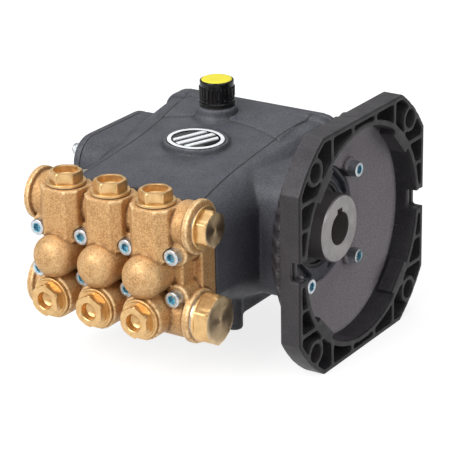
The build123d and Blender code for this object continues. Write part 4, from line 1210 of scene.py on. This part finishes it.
@dataclass
class Badge:
    """An oval plate with a plain rim and three slanted bars."""

    centre: Triple = (MID_X, -25.0, 63.8)
    tilt: float = 4.0
    half_length: float = 25.9
    half_width: float = 21.4
    slant: float = 0.55
    steps: int = 96
    bars: tuple[tuple[float, float], ...] = ((-10.5, 2.2), (0.0, 2.6), (10.5, 2.2))
    bar_share: float = 0.76
    bevel: float = 0.3

    def place(self) -> Matrix:
        """Make the placement of the plate, with its face on height 0."""
        tilt = math.radians(self.tilt)
        return placed(self.centre, (0.0, -math.sin(tilt), math.cos(tilt)), ACROSS)

    def oval(self, work: Work, share: float, height: float) -> list[Point]:
        """Add an oval ring of points.

        Args:
            work: mesh in the making.
            share: size of the oval as a share of the plate.
            height: height above the plate's face.

        Returns:
            The points in order.
        """
        place = self.place()
        long, wide = self.half_length * share, self.half_width * share
        turns = [math.tau * step / self.steps for step in range(self.steps)]
        return [work.verts.new(place @ Vector((long * math.cos(turn), wide * math.sin(turn), height)))
                for turn in turns]

    def bar(self, work: Work, middle: float, half: float, share: float) -> None:
        """Add one raised slanted bar.

        Args:
            work: mesh in the making.
            middle: place of the bar's middle along the plate.
            half: half of its width.
            share: share of the plate's size within which the bar ends.
        """
        place = self.place()
        long, wide = self.half_length * share, self.half_width * share

        def reach(offset: float, sign: int) -> Vector:
            """Find where a slanted line leaves the inner oval."""
            low, high = 0.0, wide
            for _ in range(24):
                up = (low + high) / 2
                x = middle + offset + sign * up * self.slant
                low, high = (up, high) if (x / long) ** 2 + (up / wide) ** 2 < 1.0 else (low, up)
            return Vector((middle + offset + sign * low * self.slant, sign * low, 0.0))

        outline = [reach(half * turn, 1) for turn in (-1.0, -0.5, 0.0, 0.5, 1.0)]
        outline += [reach(half * turn, -1) for turn in (1.0, 0.5, 0.0, -0.5, -1.0)]
        centre = sum(outline, Vector()) / len(outline)
        foot = [work.verts.new(place @ Vector((p.x, p.y, -1.0))) for p in outline]
        waist = [work.verts.new(place @ Vector((p.x, p.y, -0.25))) for p in outline]
        shrunk = [p + (centre - p).normalized() * self.bevel for p in outline]
        top = [work.verts.new(place @ Vector((p.x, p.y, 0.0))) for p in shrunk]
        skin(work, [foot, waist, top], [1, 1, 1])

    def build(self) -> None:
        """Make the plate."""
        work = bmesh.new()
        outline = [(0.99, -2.0, 0), (0.99, -0.5, 0), (0.97, -0.35, 0), (0.965, -0.25, 1), (0.955, 0.0, 1),
                   (0.845, 0.0, 1), (0.835, -0.3, 1), (0.835, -0.9, 0)]
        rows = [self.oval(work, share, height) for share, height, _ in outline]
        skin(work, rows, [paint for _, _, paint in outline])
        for middle, half in self.bars:
            self.bar(work, middle, half, self.bar_share)
        bmesh.ops.recalc_face_normals(work, faces=work.faces)
        shown(as_mesh(work, "badge_oval"), "badge_oval", [CAP_BLACK, BADGE_SILVER], "housing",
              ("badge_plate",))


@dataclass
class CarriedParts:
    """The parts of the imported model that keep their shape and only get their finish."""

    finishes: dict[str, tuple[Finish, tuple[str, ...]]]

    def build(self) -> None:
        """Give each part its finish."""
        for group, (finish, nodes) in self.finishes.items():
            for node in nodes:
                mesh = frame["nodes"][node].data
                mesh.materials.clear()
                mesh.materials.append(finish.material())
            LOG.info("%s: %d parts in %s", group, len(nodes), finish.name)

    def hidden(self) -> None:
        """Give the replaced parts their finish too, so that no part is left bare."""
        for node in frame["nodes"].values():
            if not node.data.materials:
                node.data.materials.append(STAINLESS.material())


# ------------------------------------------------------------------ studio
@dataclass(frozen=True)
class SoftBox:
    """A soft rectangular lamp."""

    name: str
    place: Triple
    size: tuple[float, float]
    power: float


@dataclass
class Studio:
    """Camera, lamps, floor and surroundings."""

    azimuth: float = 33.384
    elevation: float = 21.324
    roll: float = -1.096
    lens: float = 176.0
    shift_right: float = -0.112343
    shift_up: float = 0.006943
    distance: float = 1.776863
    floor_z: float = -0.1
    floor_half: float = 40.0
    floor_light: float = 0.8
    wall_light: float = 0.2
    target: Triple = (-0.12, -0.05, 0.0)
    lamps: tuple[SoftBox, ...] = (
        SoftBox("key", (-0.6, -2.0, 1.45), (1.8, 1.6), 62.0),
        SoftBox("top", (-0.2, 0.1, 2.2), (2.2, 2.2), 24.0),
        SoftBox("back", (-1.3, 2.0, 1.6), (2.4, 1.6), 8.0),
        SoftBox("fill", (1.9, -0.7, 0.8), (1.4, 1.4), 14.0),
    )
    floor_cells: int = 8
    paper_grain: float = 400.0
    paper_dark: Colour = (0.30, 0.30, 0.30)
    paper_pale: Colour = (0.33, 0.33, 0.33)
    paper_roughness: float = 0.9
    paper_gloss: float = 0.1

    def camera(self) -> None:
        """Make the camera."""
        azimuth, elevation, roll = (math.radians(v) for v in (self.azimuth, self.elevation, self.roll))
        back = Vector((math.sin(azimuth) * math.cos(elevation), -math.cos(azimuth) * math.cos(elevation),
                       math.sin(elevation)))
        level = Vector((math.cos(azimuth), math.sin(azimuth), 0.0))
        rise = back.cross(level)
        right = math.cos(roll) * level + math.sin(roll) * rise
        up = -math.sin(roll) * level + math.cos(roll) * rise
        data = bpy.data.cameras.new("camera")
        data.lens = self.lens
        data.clip_start, data.clip_end = 0.05, 50.0
        camera = bpy.data.objects.new("camera", data)
        bpy.context.scene.collection.objects.link(camera)
        turn = Matrix((right, up, back)).transposed().to_4x4()
        place = self.shift_right * right + self.shift_up * up + self.distance * back
        camera.matrix_world = Matrix.Translation(place) @ turn
        bpy.context.scene.camera = camera

    def light(self) -> None:
        """Make the lamps and the surroundings."""
        for lamp in self.lamps:
            data = bpy.data.lights.new(lamp.name, "AREA")
            data.shape = "RECTANGLE"
            data.size, data.size_y = lamp.size
            data.energy = lamp.power
            piece = bpy.data.objects.new(lamp.name, data)
            bpy.context.scene.collection.objects.link(piece)
            piece.location = lamp.place
            aim = Vector(self.target) - Vector(lamp.place)
            piece.rotation_euler = aim.to_track_quat("-Z", "Y").to_euler()
        world = bpy.data.worlds.new("studio_walls")
        world.use_nodes = True
        surroundings = world.node_tree.nodes["Background"]
        surroundings.inputs["Color"].default_value = (1.0, 1.0, 1.0, 1.0)
        surroundings.inputs["Strength"].default_value = self.wall_light
        bpy.context.scene.world = world
        bpy.context.scene.view_settings.view_transform = "Standard"

    def floor(self) -> None:
        """Make the pale floor."""
        work = bmesh.new()
        cells = self.floor_cells
        bmesh.ops.create_grid(work, x_segments=cells, y_segments=cells, size=self.floor_half)
        mesh = as_mesh(work, "studio_floor")
        floor = bpy.data.objects.new("studio_floor", mesh)
        floor.location = (0.0, 0.0, self.floor_z)
        bpy.context.scene.collection.objects.link(floor)
        graph = ShaderGraph("floor_paper")
        shade = graph.span(graph.noise(self.paper_grain, 2.0), 0.3, 0.7)
        graph.join(graph.mix(shade, self.paper_dark, self.paper_pale), "Base Color")
        graph.set("Roughness", self.paper_roughness)
        graph.set("Specular IOR Level", self.paper_gloss)
        graph.set("Emission Color", (1.0, 1.0, 1.0))
        graph.set("Emission Strength", self.floor_light)
        mesh.materials.append(graph.material)
        floor.visible_diffuse = False

    def build(self) -> None:
        """Make the whole studio."""
        self.camera()
        self.light()
        self.floor()


def main() -> None:
    """Build the pump and its studio."""
    logging.basicConfig(level=logging.INFO, format="%(name)s: %(message)s")
    Studio().build()
    MotorBell().build()
    Crankcase().build()
    ValveHead().build()
    FillerCap().build()
    Badge().build()
    carried = CarriedParts(NODE_FINISHES)
    carried.build()
    carried.hidden()


if __name__ == "__main__":
    main()
